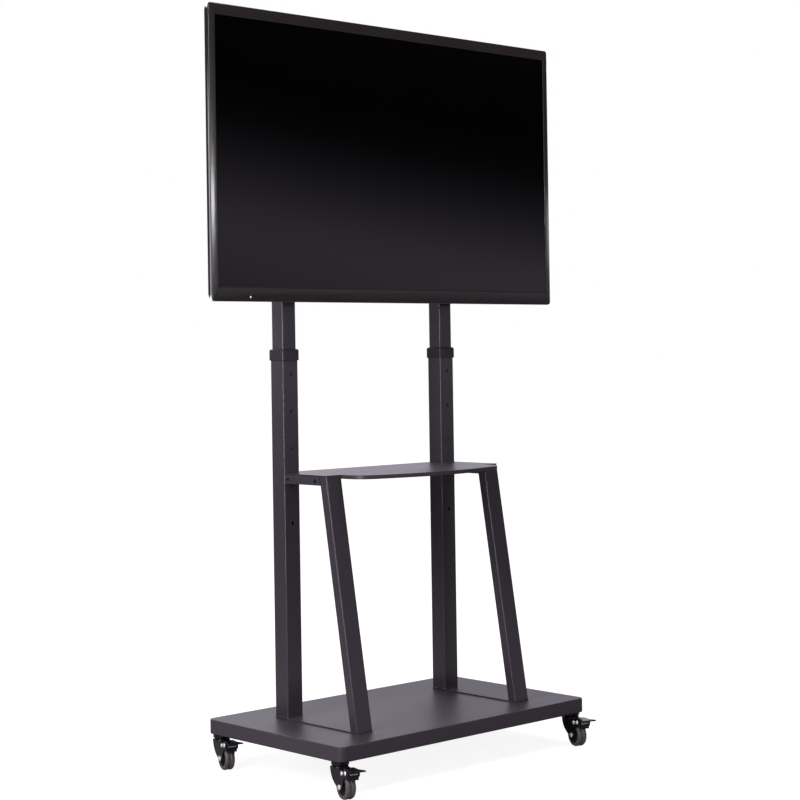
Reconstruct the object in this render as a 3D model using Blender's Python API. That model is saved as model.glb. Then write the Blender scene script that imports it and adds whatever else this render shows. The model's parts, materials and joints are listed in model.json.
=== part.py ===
"""A rolling stand for a flat display: a low base on four braked swivel casters, two telescoping
posts with a bracket that the display hooks on, and a shelf on two trapezoid side frames.

Metres, +Z up. The display faces -Y. The origin is on the floor under the middle of the stand.
"""

import math

import bmesh
import bpy
from mathutils import Matrix, Vector

# Fits
GAP = 0.0003  # between two pieces that touch
SLIDE_CLEARANCE = 0.0005  # on each side of an inner post

# Base
BASE_WIDTH = 0.900
BASE_DEPTH = 0.533
BASE_HEIGHT = 0.039
BASE_CENTRE_Y = 0.032
BASE_CORNER_RADIUS = 0.020
BASE_EDGE_ROUND = 0.0025
BASE_SHEET = 0.002
BASE_RAIL_WIDTH = 0.050
BASE_TUBE_WALL = 0.0025

# Casters: the heading is where the wheel trails to, counted from the front towards +X
CASTER_HEIGHT = 0.089
CASTER_INSET_X = 0.024
CASTER_INSET_Y = 0.031
CASTER_TRAIL = 0.030
CASTER_HEADINGS = {
    "front_left": -14.0,
    "front_right": -17.0,
    "back_left": -16.0,
    "back_right": -16.0,
}
WHEEL_DIAMETER = 0.063
TYRE_WIDTH = 0.026
TYRE_THICKNESS = 0.0085
TYRE_GROOVE_DEPTH = 0.0018
HUB_SIDE_PLAY = 0.0015
AXLE_DIAMETER = 0.008
AXLE_HEAD_DIAMETER = 0.013
AXLE_HEAD_HEIGHT = 0.0045
STEM_DIAMETER = 0.012
STEM_LENGTH = 0.022
STEM_NUT_DIAMETER = 0.019
STEM_NUT_HEIGHT = 0.008
STEM_RIVET_DIAMETER = 0.018
RACE_DIAMETER = 0.045
RACE_HEIGHT = 0.009
FORK_SHEET = 0.0025
FORK_CROWN_HEIGHT = 0.0072
FORK_BOSS_RADIUS = 0.009
FORK_NECK_REACH = 0.046
FORK_EAR_REACH = 0.071
FORK_EAR_HEIGHT = 0.016
PEDAL_PIVOT_DIAMETER = 0.006
PEDAL_PIVOT_AHEAD = 0.010
PEDAL_THICKNESS = 0.003
PEDAL_REACH = 0.092
PEDAL_WIDTH = 0.048
PEDAL_NECK_WIDTH = 0.020
PEDAL_RISE = 0.009
PEDAL_TIP_CORNER = 0.002
PEDAL_TRAVEL = 14.0
RELEASE_TAB_REACH = 0.0675
RELEASE_TAB_WIDTH = 0.028
RELEASE_TAB_DROP = 0.017
BRAKE_SHOE_LENGTH = 0.010

# Side frames
POST_SPACING = 0.580
POST_SETBACK = 0.147
POST_WIDTH = 0.052
POST_WALL = 0.0025
POST_HEIGHT = 0.967
TUBE_CORNER_RADIUS = 0.003
HOLE_DIAMETER = 0.009
HOLE_COUNT = 5
HOLE_PITCH = 0.098
HOLE_BELOW_TOP = 0.061
FOOT_STRIP_THICKNESS = 0.003
ARM_TOP_HEIGHT = 0.6445
ARM_HEIGHT = 0.0245
ARM_WALL = 0.002
LEG_TOP_REACH = 0.1915
LEG_FOOT_REACH = 0.298
LEG_DEPTH = 0.0275

# Shelf
SHELF_SHEET = 0.002
SHELF_BACK = 0.022
SHELF_NOSE_CORNER = 0.062
SHELF_NOSE_REACH = 0.2785
SHELF_NOSE_BOW = 0.0315
SHELF_LIP = 0.0105
SHELF_LIP_TUCK = 0.012
SHELF_FLANGE = 0.020
SHELF_BOLT_DIAMETER = 0.006
SHELF_BOLT_HEAD = 0.010
SHELF_BOLT_HEAD_HEIGHT = 0.0032
SHELF_BOLT_REACHES = (0.0385, 0.1485)

# Mast
INNER_POST_WALL = 0.002
INNER_POST_ENGAGED = 0.400
INNER_POST_ABOVE_RAIL = 0.020
COLLAR_HEIGHT = 0.030
COLLAR_OVERLAP = 0.0235
COLLAR_WALL = 0.0030
COLLAR_ROUNDING = 0.0045
CAP_HEIGHT = 0.003
CAP_PLUG = 0.015
LOCK_BOLT_DIAMETER = 0.008
LOCK_BOLT_ACROSS_FLATS = 0.013
LOCK_BOLT_HEAD_HEIGHT = 0.0053
LOCK_WASHER_DIAMETER = 0.024
LOCK_WASHER_THICKNESS = 0.002

# Bracket
RAIL_LENGTH = 0.660
RAIL_HEIGHT = 0.050
RAIL_SHEET = 0.003
RAIL_LIP = 0.012
RAIL_POCKET = 0.007
RAIL_SPACING = 0.260
BRACKET_ARM_SPACING = 0.400
BRACKET_ARM_LENGTH = 0.440
BRACKET_ARM_WIDTH = 0.040
BRACKET_ARM_SHEET = 0.0025
HOOK_DEPTH = 0.009

# Display
SCREEN_WIDTH = 1.2044
SCREEN_HEIGHT = 0.6777
BEZEL_SIDE = 0.0192
BEZEL_TOP = 0.0286
BEZEL_BOTTOM = 0.0358
DISPLAY_BOTTOM = 1.222
DISPLAY_STANDOFF = 0.1272
DISPLAY_THICKNESS = 0.066
DISPLAY_CORNER_RADIUS = 0.008
BEZEL_DEPTH = 0.0055
BEZEL_LIP = 0.002
BEZEL_CHAMFER = 0.0008
BEZEL_FALL = 0.0020
BEZEL_SILL = 0.0025
BEZEL_SILL_DEPTH = 0.0016
EDGE_BAND_DEPTH = 0.0068
EDGE_BAND_PROUD = 0.0006
REAR_RIM_DEPTH = 0.0067
REAR_CORNER_RADIUS = 0.018
REAR_SHELL = 0.0025
REAR_PLATE_DEPTH = 0.032
REAR_PLATE_SLOPE = 0.024
REAR_HUMP_INSET_X = 0.112
REAR_HUMP_INSET_Z = 0.071
REAR_HUMP_SLOPE = 0.030
PANEL_THICKNESS = 0.010
PANEL_MARGIN = 0.006
CHASSIS_SHEET = 0.0015
STATUS_LIGHT_DIAMETER = 0.006
STATUS_LIGHT_INSET_X = 0.121
STATUS_LIGHT_INSET_Z = 0.0105
STATUS_LIGHT_DEPTH = 0.003

# Derived places
BASE_BOTTOM = CASTER_HEIGHT
BASE_TOP = BASE_BOTTOM + BASE_HEIGHT
BASE_FRONT = BASE_CENTRE_Y - BASE_DEPTH / 2
BASE_BACK = BASE_CENTRE_Y + BASE_DEPTH / 2
CASTER_X = BASE_WIDTH / 2 - CASTER_INSET_X
POST_X = POST_SPACING / 2
POST_Y = BASE_BACK - POST_SETBACK
POST_BOTTOM = BASE_TOP + GAP + FOOT_STRIP_THICKNESS + GAP
POST_TOP = BASE_TOP + POST_HEIGHT
ARM_TOP = BASE_TOP + ARM_TOP_HEIGHT
ARM_BOTTOM = ARM_TOP - ARM_HEIGHT
INNER_POST_WIDTH = POST_WIDTH - 2 * (POST_WALL + SLIDE_CLEARANCE)
DISPLAY_WIDTH = SCREEN_WIDTH + 2 * BEZEL_SIDE
DISPLAY_HEIGHT = SCREEN_HEIGHT + BEZEL_TOP + BEZEL_BOTTOM
REAR_HUMP_WIDTH = DISPLAY_WIDTH - 2 * (REAR_HUMP_INSET_X + REAR_HUMP_SLOPE)
REAR_HUMP_HEIGHT = DISPLAY_HEIGHT - 2 * (REAR_HUMP_INSET_Z + REAR_HUMP_SLOPE)
DISPLAY_FRONT = POST_Y - DISPLAY_STANDOFF
DISPLAY_REAR = DISPLAY_FRONT + DISPLAY_THICKNESS
DISPLAY_CENTRE_Z = DISPLAY_BOTTOM + DISPLAY_HEIGHT / 2
SCREEN_CENTRE_Z = DISPLAY_BOTTOM + DISPLAY_HEIGHT - BEZEL_TOP - SCREEN_HEIGHT / 2
RAIL_BACK = POST_Y - INNER_POST_WIDTH / 2 - GAP
RAIL_LIP_FRONT = RAIL_BACK - RAIL_SHEET - RAIL_POCKET - RAIL_SHEET
WHEEL_RADIUS = WHEEL_DIAMETER / 2
HUB_HALF_WIDTH = TYRE_WIDTH / 2 + HUB_SIDE_PLAY
FORK_INNER = HUB_HALF_WIDTH + GAP
FORK_OUTER = FORK_INNER + FORK_SHEET
AXLE_Z = WHEEL_RADIUS - CASTER_HEIGHT

SIDES = {"left": -1, "right": 1}


# Materials of the stand: name, colour, roughness, metallic
FINISHES = {
    "base_powder_coat": ((0.045, 0.040, 0.046), 0.55, 0.2),
    "tube_powder_coat": ((0.040, 0.036, 0.042), 0.50, 0.2),
    "black_plastic": ((0.018, 0.017, 0.019), 0.45, 0.0),
    "zinc_steel": ((0.62, 0.62, 0.63), 0.30, 1.0),
    "caster_black": ((0.016, 0.015, 0.016), 0.40, 0.3),
    "tyre_grey": ((0.11, 0.10, 0.105), 0.35, 0.0),
    "bezel_plastic": ((0.030, 0.027, 0.029), 0.28, 0.0),
    "clear_edge": ((0.60, 0.62, 0.64), 0.10, 0.0),
    "screen_glass": ((0.008, 0.007, 0.008), 0.08, 0.0),
    "lamp_window": ((0.55, 0.55, 0.58), 0.20, 0.0),
}


def clear_scene():
    for item in list(bpy.data.objects):
        bpy.data.objects.remove(item, do_unlink=True)


def finish(name):
    """The material of that name, made once."""
    found = bpy.data.materials.get(name)
    if found:
        return found
    color, roughness, metallic = FINISHES[name]
    made = bpy.data.materials.new(name)
    made.use_nodes = True
    shader = made.node_tree.nodes["Principled BSDF"]
    shader.inputs["Base Color"].default_value = (*color, 1.0)
    shader.inputs["Roughness"].default_value = roughness
    shader.inputs["Metallic"].default_value = metallic
    made.diffuse_color = (*color, 1.0)
    return made


def body(name, location=(0.0, 0.0, 0.0), heading=0.0, parent=None):
    """An empty on a joint's axis, which carries the pieces that move together."""
    empty = bpy.data.objects.new(name, None)
    bpy.context.scene.collection.objects.link(empty)
    empty.location = location
    empty.rotation_euler = (0.0, 0.0, math.radians(heading))
    empty.parent = parent
    return empty


def piece(name, mesh, material, carrier, offset=(0.0, 0.0, 0.0)):
    """Makes a bmesh an object on its carrier. offset is the carrier's place in the mesh's coordinates."""
    bmesh.ops.translate(mesh, verts=mesh.verts, vec=-Vector(offset))
    data = bpy.data.meshes.new(name)
    mesh.to_mesh(data)
    mesh.free()
    made = bpy.data.objects.new(name, data)
    bpy.context.scene.collection.objects.link(made)
    made.parent = carrier
    data.materials.append(finish(material))
    data.shade_smooth()
    data.set_sharp_from_angle(angle=math.radians(35))
    return made


def combine(target, mesh, operation="DIFFERENCE", offset=(0.0, 0.0, 0.0)):
    """Cuts a shape out of a piece, or joins it on, and keeps that shape as a hidden helper."""
    helper = piece(f"{target.name}_tool", mesh, "black_plastic", target.parent, offset)
    helper.hide_render = True
    helper.display_type = "WIRE"
    step = target.modifiers.new(operation.lower(), "BOOLEAN")
    step.operation = operation
    step.solver = "EXACT"
    step.object = helper


def skin(loops, ring=False):
    """Joins loops of equally many points into one closed body: capped at both ends, or the last to the first."""
    mesh = bmesh.new()
    rows = [[mesh.verts.new(point) for point in loop] for loop in loops]
    pairs = list(zip(rows, rows[1:]))
    if ring:
        pairs.append((rows[-1], rows[0]))
    else:
        mesh.faces.new(rows[0])
        mesh.faces.new(rows[-1])
    for low, high in pairs:
        for i in range(len(low)):
            j = (i + 1) % len(low)
            mesh.faces.new((low[i], low[j], high[j], high[i]))
    bmesh.ops.recalc_face_normals(mesh, faces=mesh.faces)
    return mesh


def turned(profile, steps, ring=False, axis="Z"):
    """Spins a profile of (radius, height) points. A ring's profile is a closed outline off the axis."""
    mesh = bmesh.new()
    points = [mesh.verts.new((radius, 0.0, height)) for radius, height in profile]
    pairs = list(zip(points, points[1:]))
    if ring:
        pairs.append((points[-1], points[0]))
    edges = [mesh.edges.new(pair) for pair in pairs]
    bmesh.ops.spin(
        mesh, geom=points + edges, axis=(0, 0, 1), cent=(0, 0, 0), angle=2 * math.pi, steps=steps
    )
    bmesh.ops.remove_doubles(mesh, verts=mesh.verts, dist=1e-6)
    if axis == "Y":
        turn = Matrix.Rotation(math.radians(-90), 4, "X")
        bmesh.ops.transform(mesh, matrix=turn, verts=mesh.verts)
    if axis == "X":
        turn = Matrix.Rotation(math.radians(90), 4, "Y")
        bmesh.ops.transform(mesh, matrix=turn, verts=mesh.verts)
    bmesh.ops.recalc_face_normals(mesh, faces=mesh.faces)
    return mesh


def rod(diameter, start, end, axis="Z", steps=16):
    radius = diameter / 2
    return turned([(0, start), (radius, start), (radius, end), (0, end)], steps, axis=axis)


def moved(mesh, x=0.0, y=0.0, z=0.0):
    bmesh.ops.translate(mesh, verts=mesh.verts, vec=(x, y, z))
    return mesh


def merged(meshes):
    """One bmesh of several that stay apart, such as a row of cutters."""
    whole = bmesh.new()
    for mesh in meshes:
        data = bpy.data.meshes.new("part")
        mesh.to_mesh(data)
        mesh.free()
        whole.from_mesh(data)
        bpy.data.meshes.remove(data)
    return whole


def rounded_rectangle(width, height, radius, steps=3):
    """Points round a rectangle about the origin, anticlockwise."""
    corners = ((1, 1, 0), (-1, 1, 90), (-1, -1, 180), (1, -1, 270))
    points = []
    for side_x, side_y, start in corners:
        centre_x = side_x * (width / 2 - radius)
        centre_y = side_y * (height / 2 - radius)
        for step in range(steps + 1):
            angle = math.radians(start + 90 * step / steps)
            points.append((centre_x + radius * math.cos(angle), centre_y + radius * math.sin(angle)))
    return points


def upright(outline, x, y, z):
    return [(x + across, y + along, z) for across, along in outline]


def box(low, high):
    (x0, y0, z0), (x1, y1, z1) = low, high
    outline = ((x0, y0), (x1, y0), (x1, y1), (x0, y1))
    return skin([[(x, y, z0) for x, y in outline], [(x, y, z1) for x, y in outline]])


def square_tube(width, depth, wall, corner):
    """Outer and inner outline of a rectangular tube."""
    inner_corner = max(corner - wall, corner * 0.3)
    outer = rounded_rectangle(width, depth, corner)
    inner = rounded_rectangle(width - 2 * wall, depth - 2 * wall, inner_corner)
    return outer, inner


def tube_between(outer, inner, start, end):
    """A tube whose ends are where start and end put the points of its two outlines."""
    loops = [
        [start(*point) for point in outer],
        [end(*point) for point in outer],
        [end(*point) for point in inner],
        [start(*point) for point in inner],
    ]
    return skin(loops, ring=True)


def make_base(root):
    outline = rounded_rectangle(BASE_WIDTH, BASE_DEPTH, BASE_CORNER_RADIUS, steps=6)
    pan = skin([upright(outline, 0, BASE_CENTRE_Y, z) for z in (BASE_BOTTOM, BASE_TOP)])
    rim = [edge for edge in pan.edges if all(vert.co.z > BASE_TOP - GAP for vert in edge.verts)]
    bmesh.ops.bevel(pan, geom=rim, offset=BASE_EDGE_ROUND, segments=3, profile=0.5, affect="EDGES")
    base = piece("base_pan", pan, "base_powder_coat", root)
    hollow = rounded_rectangle(
        BASE_WIDTH - 2 * BASE_SHEET,
        BASE_DEPTH - 2 * BASE_SHEET,
        BASE_CORNER_RADIUS - BASE_SHEET,
        steps=6,
    )
    levels = (BASE_BOTTOM - BASE_SHEET, BASE_TOP - BASE_SHEET)
    combine(base, skin([upright(hollow, 0, BASE_CENTRE_Y, z) for z in levels]))

    height = BASE_HEIGHT - BASE_SHEET - GAP
    middle = BASE_BOTTOM + height / 2
    half_length = BASE_WIDTH / 2 - BASE_CORNER_RADIUS / 2
    outer, inner = square_tube(BASE_RAIL_WIDTH, height, BASE_TUBE_WALL, TUBE_CORNER_RADIUS)
    rows = {"front": BASE_FRONT + CASTER_INSET_Y, "back": BASE_BACK - CASTER_INSET_Y}
    for name, y in rows.items():
        rail = tube_between(
            outer,
            inner,
            lambda a, b: (-half_length, y + a, middle + b),
            lambda a, b: (half_length, y + a, middle + b),
        )
        rail = piece(f"base_rail_{name}", rail, "base_powder_coat", root)
        holes = [
            moved(
                rod(STEM_DIAMETER + 4 * GAP, -BASE_TUBE_WALL, 2 * BASE_TUBE_WALL),
                side * CASTER_X,
                y,
                BASE_BOTTOM,
            )
            for side in SIDES.values()
        ]
        combine(rail, merged(holes))

    outer, inner = square_tube(POST_WIDTH, height, BASE_TUBE_WALL, TUBE_CORNER_RADIUS)
    front = rows["front"] + BASE_RAIL_WIDTH / 2 + GAP
    back = rows["back"] - BASE_RAIL_WIDTH / 2 - GAP
    for name, side in SIDES.items():
        member = tube_between(
            outer,
            inner,
            lambda a, b: (side * POST_X + a, front, middle + b),
            lambda a, b: (side * POST_X + a, back, middle + b),
        )
        piece(f"base_crossmember_{name}", member, "base_powder_coat", root)


def leg_front(z):
    """Y of a leg's front face at a height."""
    share = (z - BASE_TOP) / ARM_TOP_HEIGHT
    return POST_Y - LEG_FOOT_REACH + share * (LEG_FOOT_REACH - LEG_TOP_REACH)


def make_side_frame(root, name, side):
    x = side * POST_X
    outer, inner = square_tube(POST_WIDTH, POST_WIDTH, POST_WALL, TUBE_CORNER_RADIUS)
    post = tube_between(
        outer,
        inner,
        lambda a, b: (x + a, POST_Y + b, POST_BOTTOM),
        lambda a, b: (x + a, POST_Y + b, POST_TOP),
    )
    post = piece(f"outer_post_{name}", post, "tube_powder_coat", root)
    face = POST_WIDTH / 2
    levels = [POST_TOP - HOLE_BELOW_TOP - HOLE_PITCH * number for number in range(HOLE_COUNT)]
    holes = [
        moved(rod(HOLE_DIAMETER, -face - POST_WALL, -face + 2 * POST_WALL, axis="Y"), x, POST_Y, z)
        for z in levels
    ]
    lock_hole = rod(LOCK_BOLT_DIAMETER + 2 * GAP, face - 2 * POST_WALL, face + POST_WALL, axis="Y")
    holes.append(moved(lock_hole, x, POST_Y, levels[0]))
    combine(post, merged(holes))
    make_lock_bolt(root, name, x, levels[0])

    strip_front = leg_front(BASE_TOP)
    strip_back = POST_Y + POST_WIDTH / 2
    strip = box(
        (x - POST_WIDTH / 2, strip_front, BASE_TOP + GAP),
        (x + POST_WIDTH / 2, strip_back, BASE_TOP + GAP + FOOT_STRIP_THICKNESS),
    )
    piece(f"foot_strip_{name}", strip, "tube_powder_coat", root)

    outer, inner = square_tube(POST_WIDTH, LEG_DEPTH, ARM_WALL, TUBE_CORNER_RADIUS)
    middle = LEG_DEPTH / 2
    leg = tube_between(
        outer,
        inner,
        lambda a, b: (x + a, leg_front(POST_BOTTOM) + middle + b, POST_BOTTOM),
        lambda a, b: (x + a, leg_front(ARM_TOP) + middle + b, ARM_TOP),
    )
    piece(f"front_leg_{name}", leg, "tube_powder_coat", root)

    outer, inner = square_tube(POST_WIDTH, ARM_HEIGHT, ARM_WALL, TUBE_CORNER_RADIUS)
    centre = ARM_TOP - ARM_HEIGHT / 2
    arm_back = POST_Y - POST_WIDTH / 2 - GAP
    arm = tube_between(
        outer,
        inner,
        lambda a, b: (x + a, arm_back, centre + b),
        lambda a, b: (x + a, leg_front(centre + b) + LEG_DEPTH + GAP, centre + b),
    )
    arm = piece(f"shelf_arm_{name}", arm, "tube_powder_coat", root)
    reach = POST_WIDTH / 2 + ARM_WALL
    holes = [
        moved(rod(SHELF_BOLT_DIAMETER + 2 * GAP, -reach, reach, axis="X", steps=12), x, y, centre)
        for y in shelf_bolt_places()
    ]
    combine(arm, merged(holes))


def make_lock_bolt(root, name, x, z):
    """A hex bolt with its washer, which bears on the back of the inner post and holds it at its height."""
    tip = POST_WIDTH / 2 - POST_WALL - SLIDE_CLEARANCE + GAP
    seat = POST_WIDTH / 2 + GAP
    washer = seat + LOCK_WASHER_THICKNESS
    shank = LOCK_BOLT_DIAMETER / 2
    profile = [
        (0, tip),
        (shank, tip),
        (shank, seat),
        (LOCK_WASHER_DIAMETER / 2, seat),
        (LOCK_WASHER_DIAMETER / 2, washer),
        (0, washer),
    ]
    mesh = moved(turned(profile, 18, axis="Y"), x, POST_Y, z)
    bolt = piece(f"lock_bolt_{name}", mesh, "zinc_steel", root)
    corner = LOCK_BOLT_ACROSS_FLATS / 2 / math.cos(math.radians(30))
    head = washer + LOCK_BOLT_HEAD_HEIGHT
    loops = []
    for radius, y in ((corner, washer - GAP), (corner, head - GAP), (corner * 0.86, head)):
        angles = [math.radians(60 * step) for step in range(6)]
        loops.append([(x + radius * math.cos(a), POST_Y + y, z + radius * math.sin(a)) for a in angles])
    combine(bolt, skin(loops), "UNION")


def shelf_bolt_places():
    return [POST_Y - reach for reach in SHELF_BOLT_REACHES]


def nose_outline(inset, back):
    """The shelf's part in front of the legs, seen from above: round corners and a bowed front edge."""
    half = POST_X - POST_WIDTH / 2 - 2 * GAP - inset
    corner = SHELF_NOSE_CORNER - inset
    front = POST_Y - SHELF_NOSE_REACH + inset
    edge = half - corner
    points = [(-half, back)]
    for step in range(7):
        angle = math.radians(180 + 90 * step / 6)
        points.append((-edge + corner * math.cos(angle), front + corner + corner * math.sin(angle)))
    for step in range(1, 12):
        across = -1 + 2 * step / 12
        points.append((edge * across, front - SHELF_NOSE_BOW * (1 - across * across)))
    for step in range(7):
        angle = math.radians(270 + 90 * step / 6)
        points.append((edge + corner * math.cos(angle), front + corner + corner * math.sin(angle)))
    points.append((half, back))
    return points


def make_shelf(root):
    inside = POST_X - POST_WIDTH / 2 - 2 * GAP
    outside = POST_X + POST_WIDTH / 2
    back = POST_Y + SHELF_BACK
    post_front = POST_Y - POST_WIDTH / 2 - GAP
    leg_line = leg_front(ARM_TOP)
    bottom = ARM_TOP + GAP
    top = bottom + SHELF_SHEET
    left = [(-inside, back), (-inside, post_front), (-outside, post_front), (-outside, leg_line)]
    right = [(-px, py) for px, py in reversed(left)]
    outline = left + nose_outline(0.0, leg_line) + right
    shelf = skin([[(px, py, z) for px, py in outline] for z in (bottom, top)])
    shelf = piece("shelf", shelf, "tube_powder_coat", root)

    hidden = leg_line + SHELF_LIP_TUCK + SHELF_SHEET
    levels = (top - SHELF_LIP, bottom + SHELF_SHEET / 2)
    nose = nose_outline(0.0, leg_line + SHELF_LIP_TUCK)
    lip = skin([[(px, py, z) for px, py in nose] for z in levels])
    combine(shelf, lip, "UNION")
    pocket = nose_outline(SHELF_SHEET, hidden)
    levels = (top - 2 * SHELF_LIP, bottom)
    combine(shelf, skin([[(px, py, z) for px, py in pocket] for z in levels]))

    first, last = shelf_bolt_places()
    margin = SHELF_BOLT_HEAD
    holes = []
    for side in SIDES.values():
        near = sorted((side * inside, side * (inside - SHELF_SHEET)))
        flange = box(
            (near[0], last - margin, top - SHELF_FLANGE),
            (near[1], min(first + margin, post_front), bottom + SHELF_SHEET / 2),
        )
        combine(shelf, flange, "UNION")
        for y in shelf_bolt_places():
            hole = rod(SHELF_BOLT_DIAMETER + 2 * GAP, near[0] - SHELF_SHEET, near[1] + SHELF_SHEET, "X", 12)
            holes.append(moved(hole, 0, y, ARM_TOP - ARM_HEIGHT / 2))
    combine(shelf, merged(holes))


def make_shelf_bolts(root):
    """A button-head bolt through the arm and the shelf's flange, with its nut on the inner side."""
    outside = POST_WIDTH / 2 + GAP
    inside = POST_WIDTH / 2 + 2 * GAP + SHELF_SHEET + GAP
    radius = SHELF_BOLT_DIAMETER / 2
    head = SHELF_BOLT_HEAD / 2
    profile = [
        (0, -outside - SHELF_BOLT_HEAD_HEIGHT),
        (head * 0.6, -outside - SHELF_BOLT_HEAD_HEIGHT),
        (head, -outside - SHELF_BOLT_HEAD_HEIGHT * 0.3),
        (head, -outside),
        (radius, -outside),
        (radius, inside),
        (head, inside),
        (head, inside + SHELF_BOLT_HEAD_HEIGHT),
        (0, inside + SHELF_BOLT_HEAD_HEIGHT),
    ]
    for side_name, side in SIDES.items():
        for row, y in zip(("back", "front"), shelf_bolt_places()):
            mesh = turned(profile, 12, axis="X")
            if side > 0:
                bmesh.ops.rotate(mesh, verts=mesh.verts, matrix=Matrix.Rotation(math.pi, 3, "Z"))
            moved(mesh, side * POST_X, y, ARM_TOP - ARM_HEIGHT / 2)
            piece(f"shelf_bolt_{row}_{side_name}", mesh, "caster_black", root)


def make_collar(root, name, side):
    """A plastic sleeve on the top of an outer post, closed down to the inner post above it."""
    bottom = POST_TOP - COLLAR_OVERLAP
    top = bottom + COLLAR_HEIGHT
    shoulder = POST_TOP + GAP
    width = POST_WIDTH + 2 * (GAP + COLLAR_WALL)
    corner = TUBE_CORNER_RADIUS + COLLAR_WALL
    rounding = COLLAR_ROUNDING

    def loop(size, radius, z):
        return upright(rounded_rectangle(size, size, radius), side * POST_X, POST_Y, z)

    sleeve = POST_WIDTH + 2 * GAP
    throat = INNER_POST_WIDTH + 2 * SLIDE_CLEARANCE
    loops = [
        loop(width, corner, bottom),
        loop(width, corner, top - rounding),
        loop(width - rounding * 0.6, corner, top - rounding * 0.3),
        loop(width - rounding * 2, corner, top),
        loop(throat, TUBE_CORNER_RADIUS, top),
        loop(throat, TUBE_CORNER_RADIUS, shoulder),
        loop(sleeve, TUBE_CORNER_RADIUS, shoulder),
        loop(sleeve, TUBE_CORNER_RADIUS, bottom),
    ]
    piece(f"collar_{name}", skin(loops, ring=True), "black_plastic", root)


def rail_levels():
    """Middle height of the lower and the upper cross rail."""
    return {
        "lower": DISPLAY_CENTRE_Z - RAIL_SPACING / 2,
        "upper": DISPLAY_CENTRE_Z + RAIL_SPACING / 2,
    }


def make_mast(mast):
    place = mast.location
    top = rail_levels()["upper"] + RAIL_HEIGHT / 2 + RAIL_LIP + INNER_POST_ABOVE_RAIL
    bottom = POST_TOP - INNER_POST_ENGAGED
    outer, inner = square_tube(INNER_POST_WIDTH, INNER_POST_WIDTH, INNER_POST_WALL, TUBE_CORNER_RADIUS)
    for name, side in SIDES.items():
        x = side * POST_X
        post = tube_between(
            outer,
            inner,
            lambda a, b: (x + a, POST_Y + b, bottom),
            lambda a, b: (x + a, POST_Y + b, top),
        )
        piece(f"inner_post_{name}", post, "tube_powder_coat", mast, place)
        plug = INNER_POST_WIDTH - 2 * (INNER_POST_WALL + GAP)
        wide = rounded_rectangle(INNER_POST_WIDTH, INNER_POST_WIDTH, TUBE_CORNER_RADIUS)
        narrow = rounded_rectangle(plug, plug, TUBE_CORNER_RADIUS / 2)
        cap = skin(
            [
                upright(narrow, x, POST_Y, top - CAP_PLUG),
                upright(narrow, x, POST_Y, top + GAP),
                upright(wide, x, POST_Y, top + GAP),
                upright(wide, x, POST_Y, top + GAP + CAP_HEIGHT * 0.6),
                upright(narrow, x, POST_Y, top + GAP + CAP_HEIGHT),
            ]
        )
        piece(f"post_cap_{name}", cap, "black_plastic", mast, place)

    for name, z in rail_levels().items():
        low = z - RAIL_HEIGHT / 2
        high = z + RAIL_HEIGHT / 2
        path = [
            (RAIL_BACK - RAIL_SHEET, low),
            (RAIL_BACK - RAIL_SHEET, high - RAIL_SHEET),
            (RAIL_LIP_FRONT + RAIL_SHEET, high - RAIL_SHEET),
            (RAIL_LIP_FRONT + RAIL_SHEET, high + RAIL_LIP),
        ]
        rail = bent_rail(path)
        piece(f"cross_rail_{name}", rail, "tube_powder_coat", mast, place)


def bent_rail(path):
    """The rail's folded strip: a web on the posts, a step forward and an upturned lip."""
    (web, low), (_, step), (lip, _), (_, high) = path
    outline = [
        (RAIL_BACK, low),
        (RAIL_BACK, step + RAIL_SHEET),
        (lip, step + RAIL_SHEET),
        (lip, high),
        (lip - RAIL_SHEET, high),
        (lip - RAIL_SHEET, step),
        (web, step),
        (web, low),
    ]
    return skin([[(x, y, z) for y, z in outline] for x in (-RAIL_LENGTH / 2, RAIL_LENGTH / 2)])


def arm_side_outline():
    """A bracket arm's cheek in (y, z): a straight front edge, and two hooks that drop behind the rails' lips."""
    front = DISPLAY_REAR + GAP
    back = RAIL_LIP_FRONT - GAP
    low = DISPLAY_CENTRE_Z - BRACKET_ARM_LENGTH / 2
    high = DISPLAY_CENTRE_Z + BRACKET_ARM_LENGTH / 2
    inner = RAIL_LIP_FRONT + RAIL_SHEET + GAP
    tip = RAIL_BACK - RAIL_SHEET - 4 * GAP
    points = [(front, high), (front, low), (back, low)]
    for z in rail_levels().values():
        lip_top = z + RAIL_HEIGHT / 2 + RAIL_LIP + GAP
        points += [
            (back, lip_top),
            (inner, lip_top),
            (inner, lip_top - HOOK_DEPTH),
            (tip, lip_top - HOOK_DEPTH),
            (tip, lip_top + HOOK_DEPTH),
            (back, lip_top + 2 * HOOK_DEPTH),
        ]
    points.append((back, high))
    return points


def make_bracket_arm(display, name, side):
    x = side * BRACKET_ARM_SPACING / 2
    half = BRACKET_ARM_WIDTH / 2
    front = DISPLAY_REAR + GAP
    low = DISPLAY_CENTRE_Z - BRACKET_ARM_LENGTH / 2
    high = DISPLAY_CENTRE_Z + BRACKET_ARM_LENGTH / 2
    outline = arm_side_outline()
    place = display.location
    cheek = skin([[(x - half + shift, y, z) for y, z in outline] for shift in (0, BRACKET_ARM_SHEET)])
    arm = piece(f"bracket_arm_{name}", cheek, "tube_powder_coat", display, place)
    shifts = (BRACKET_ARM_WIDTH - BRACKET_ARM_SHEET, BRACKET_ARM_WIDTH)
    other = skin([[(x - half + shift, y, z) for y, z in outline] for shift in shifts])
    combine(arm, other, "UNION", place)
    web = box((x - half, front, low), (x + half, front + BRACKET_ARM_SHEET, high))
    combine(arm, web, "UNION", place)


def on_wall(outline, centre_z, y):
    return [(across, y, centre_z + up) for across, up in outline]


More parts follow.
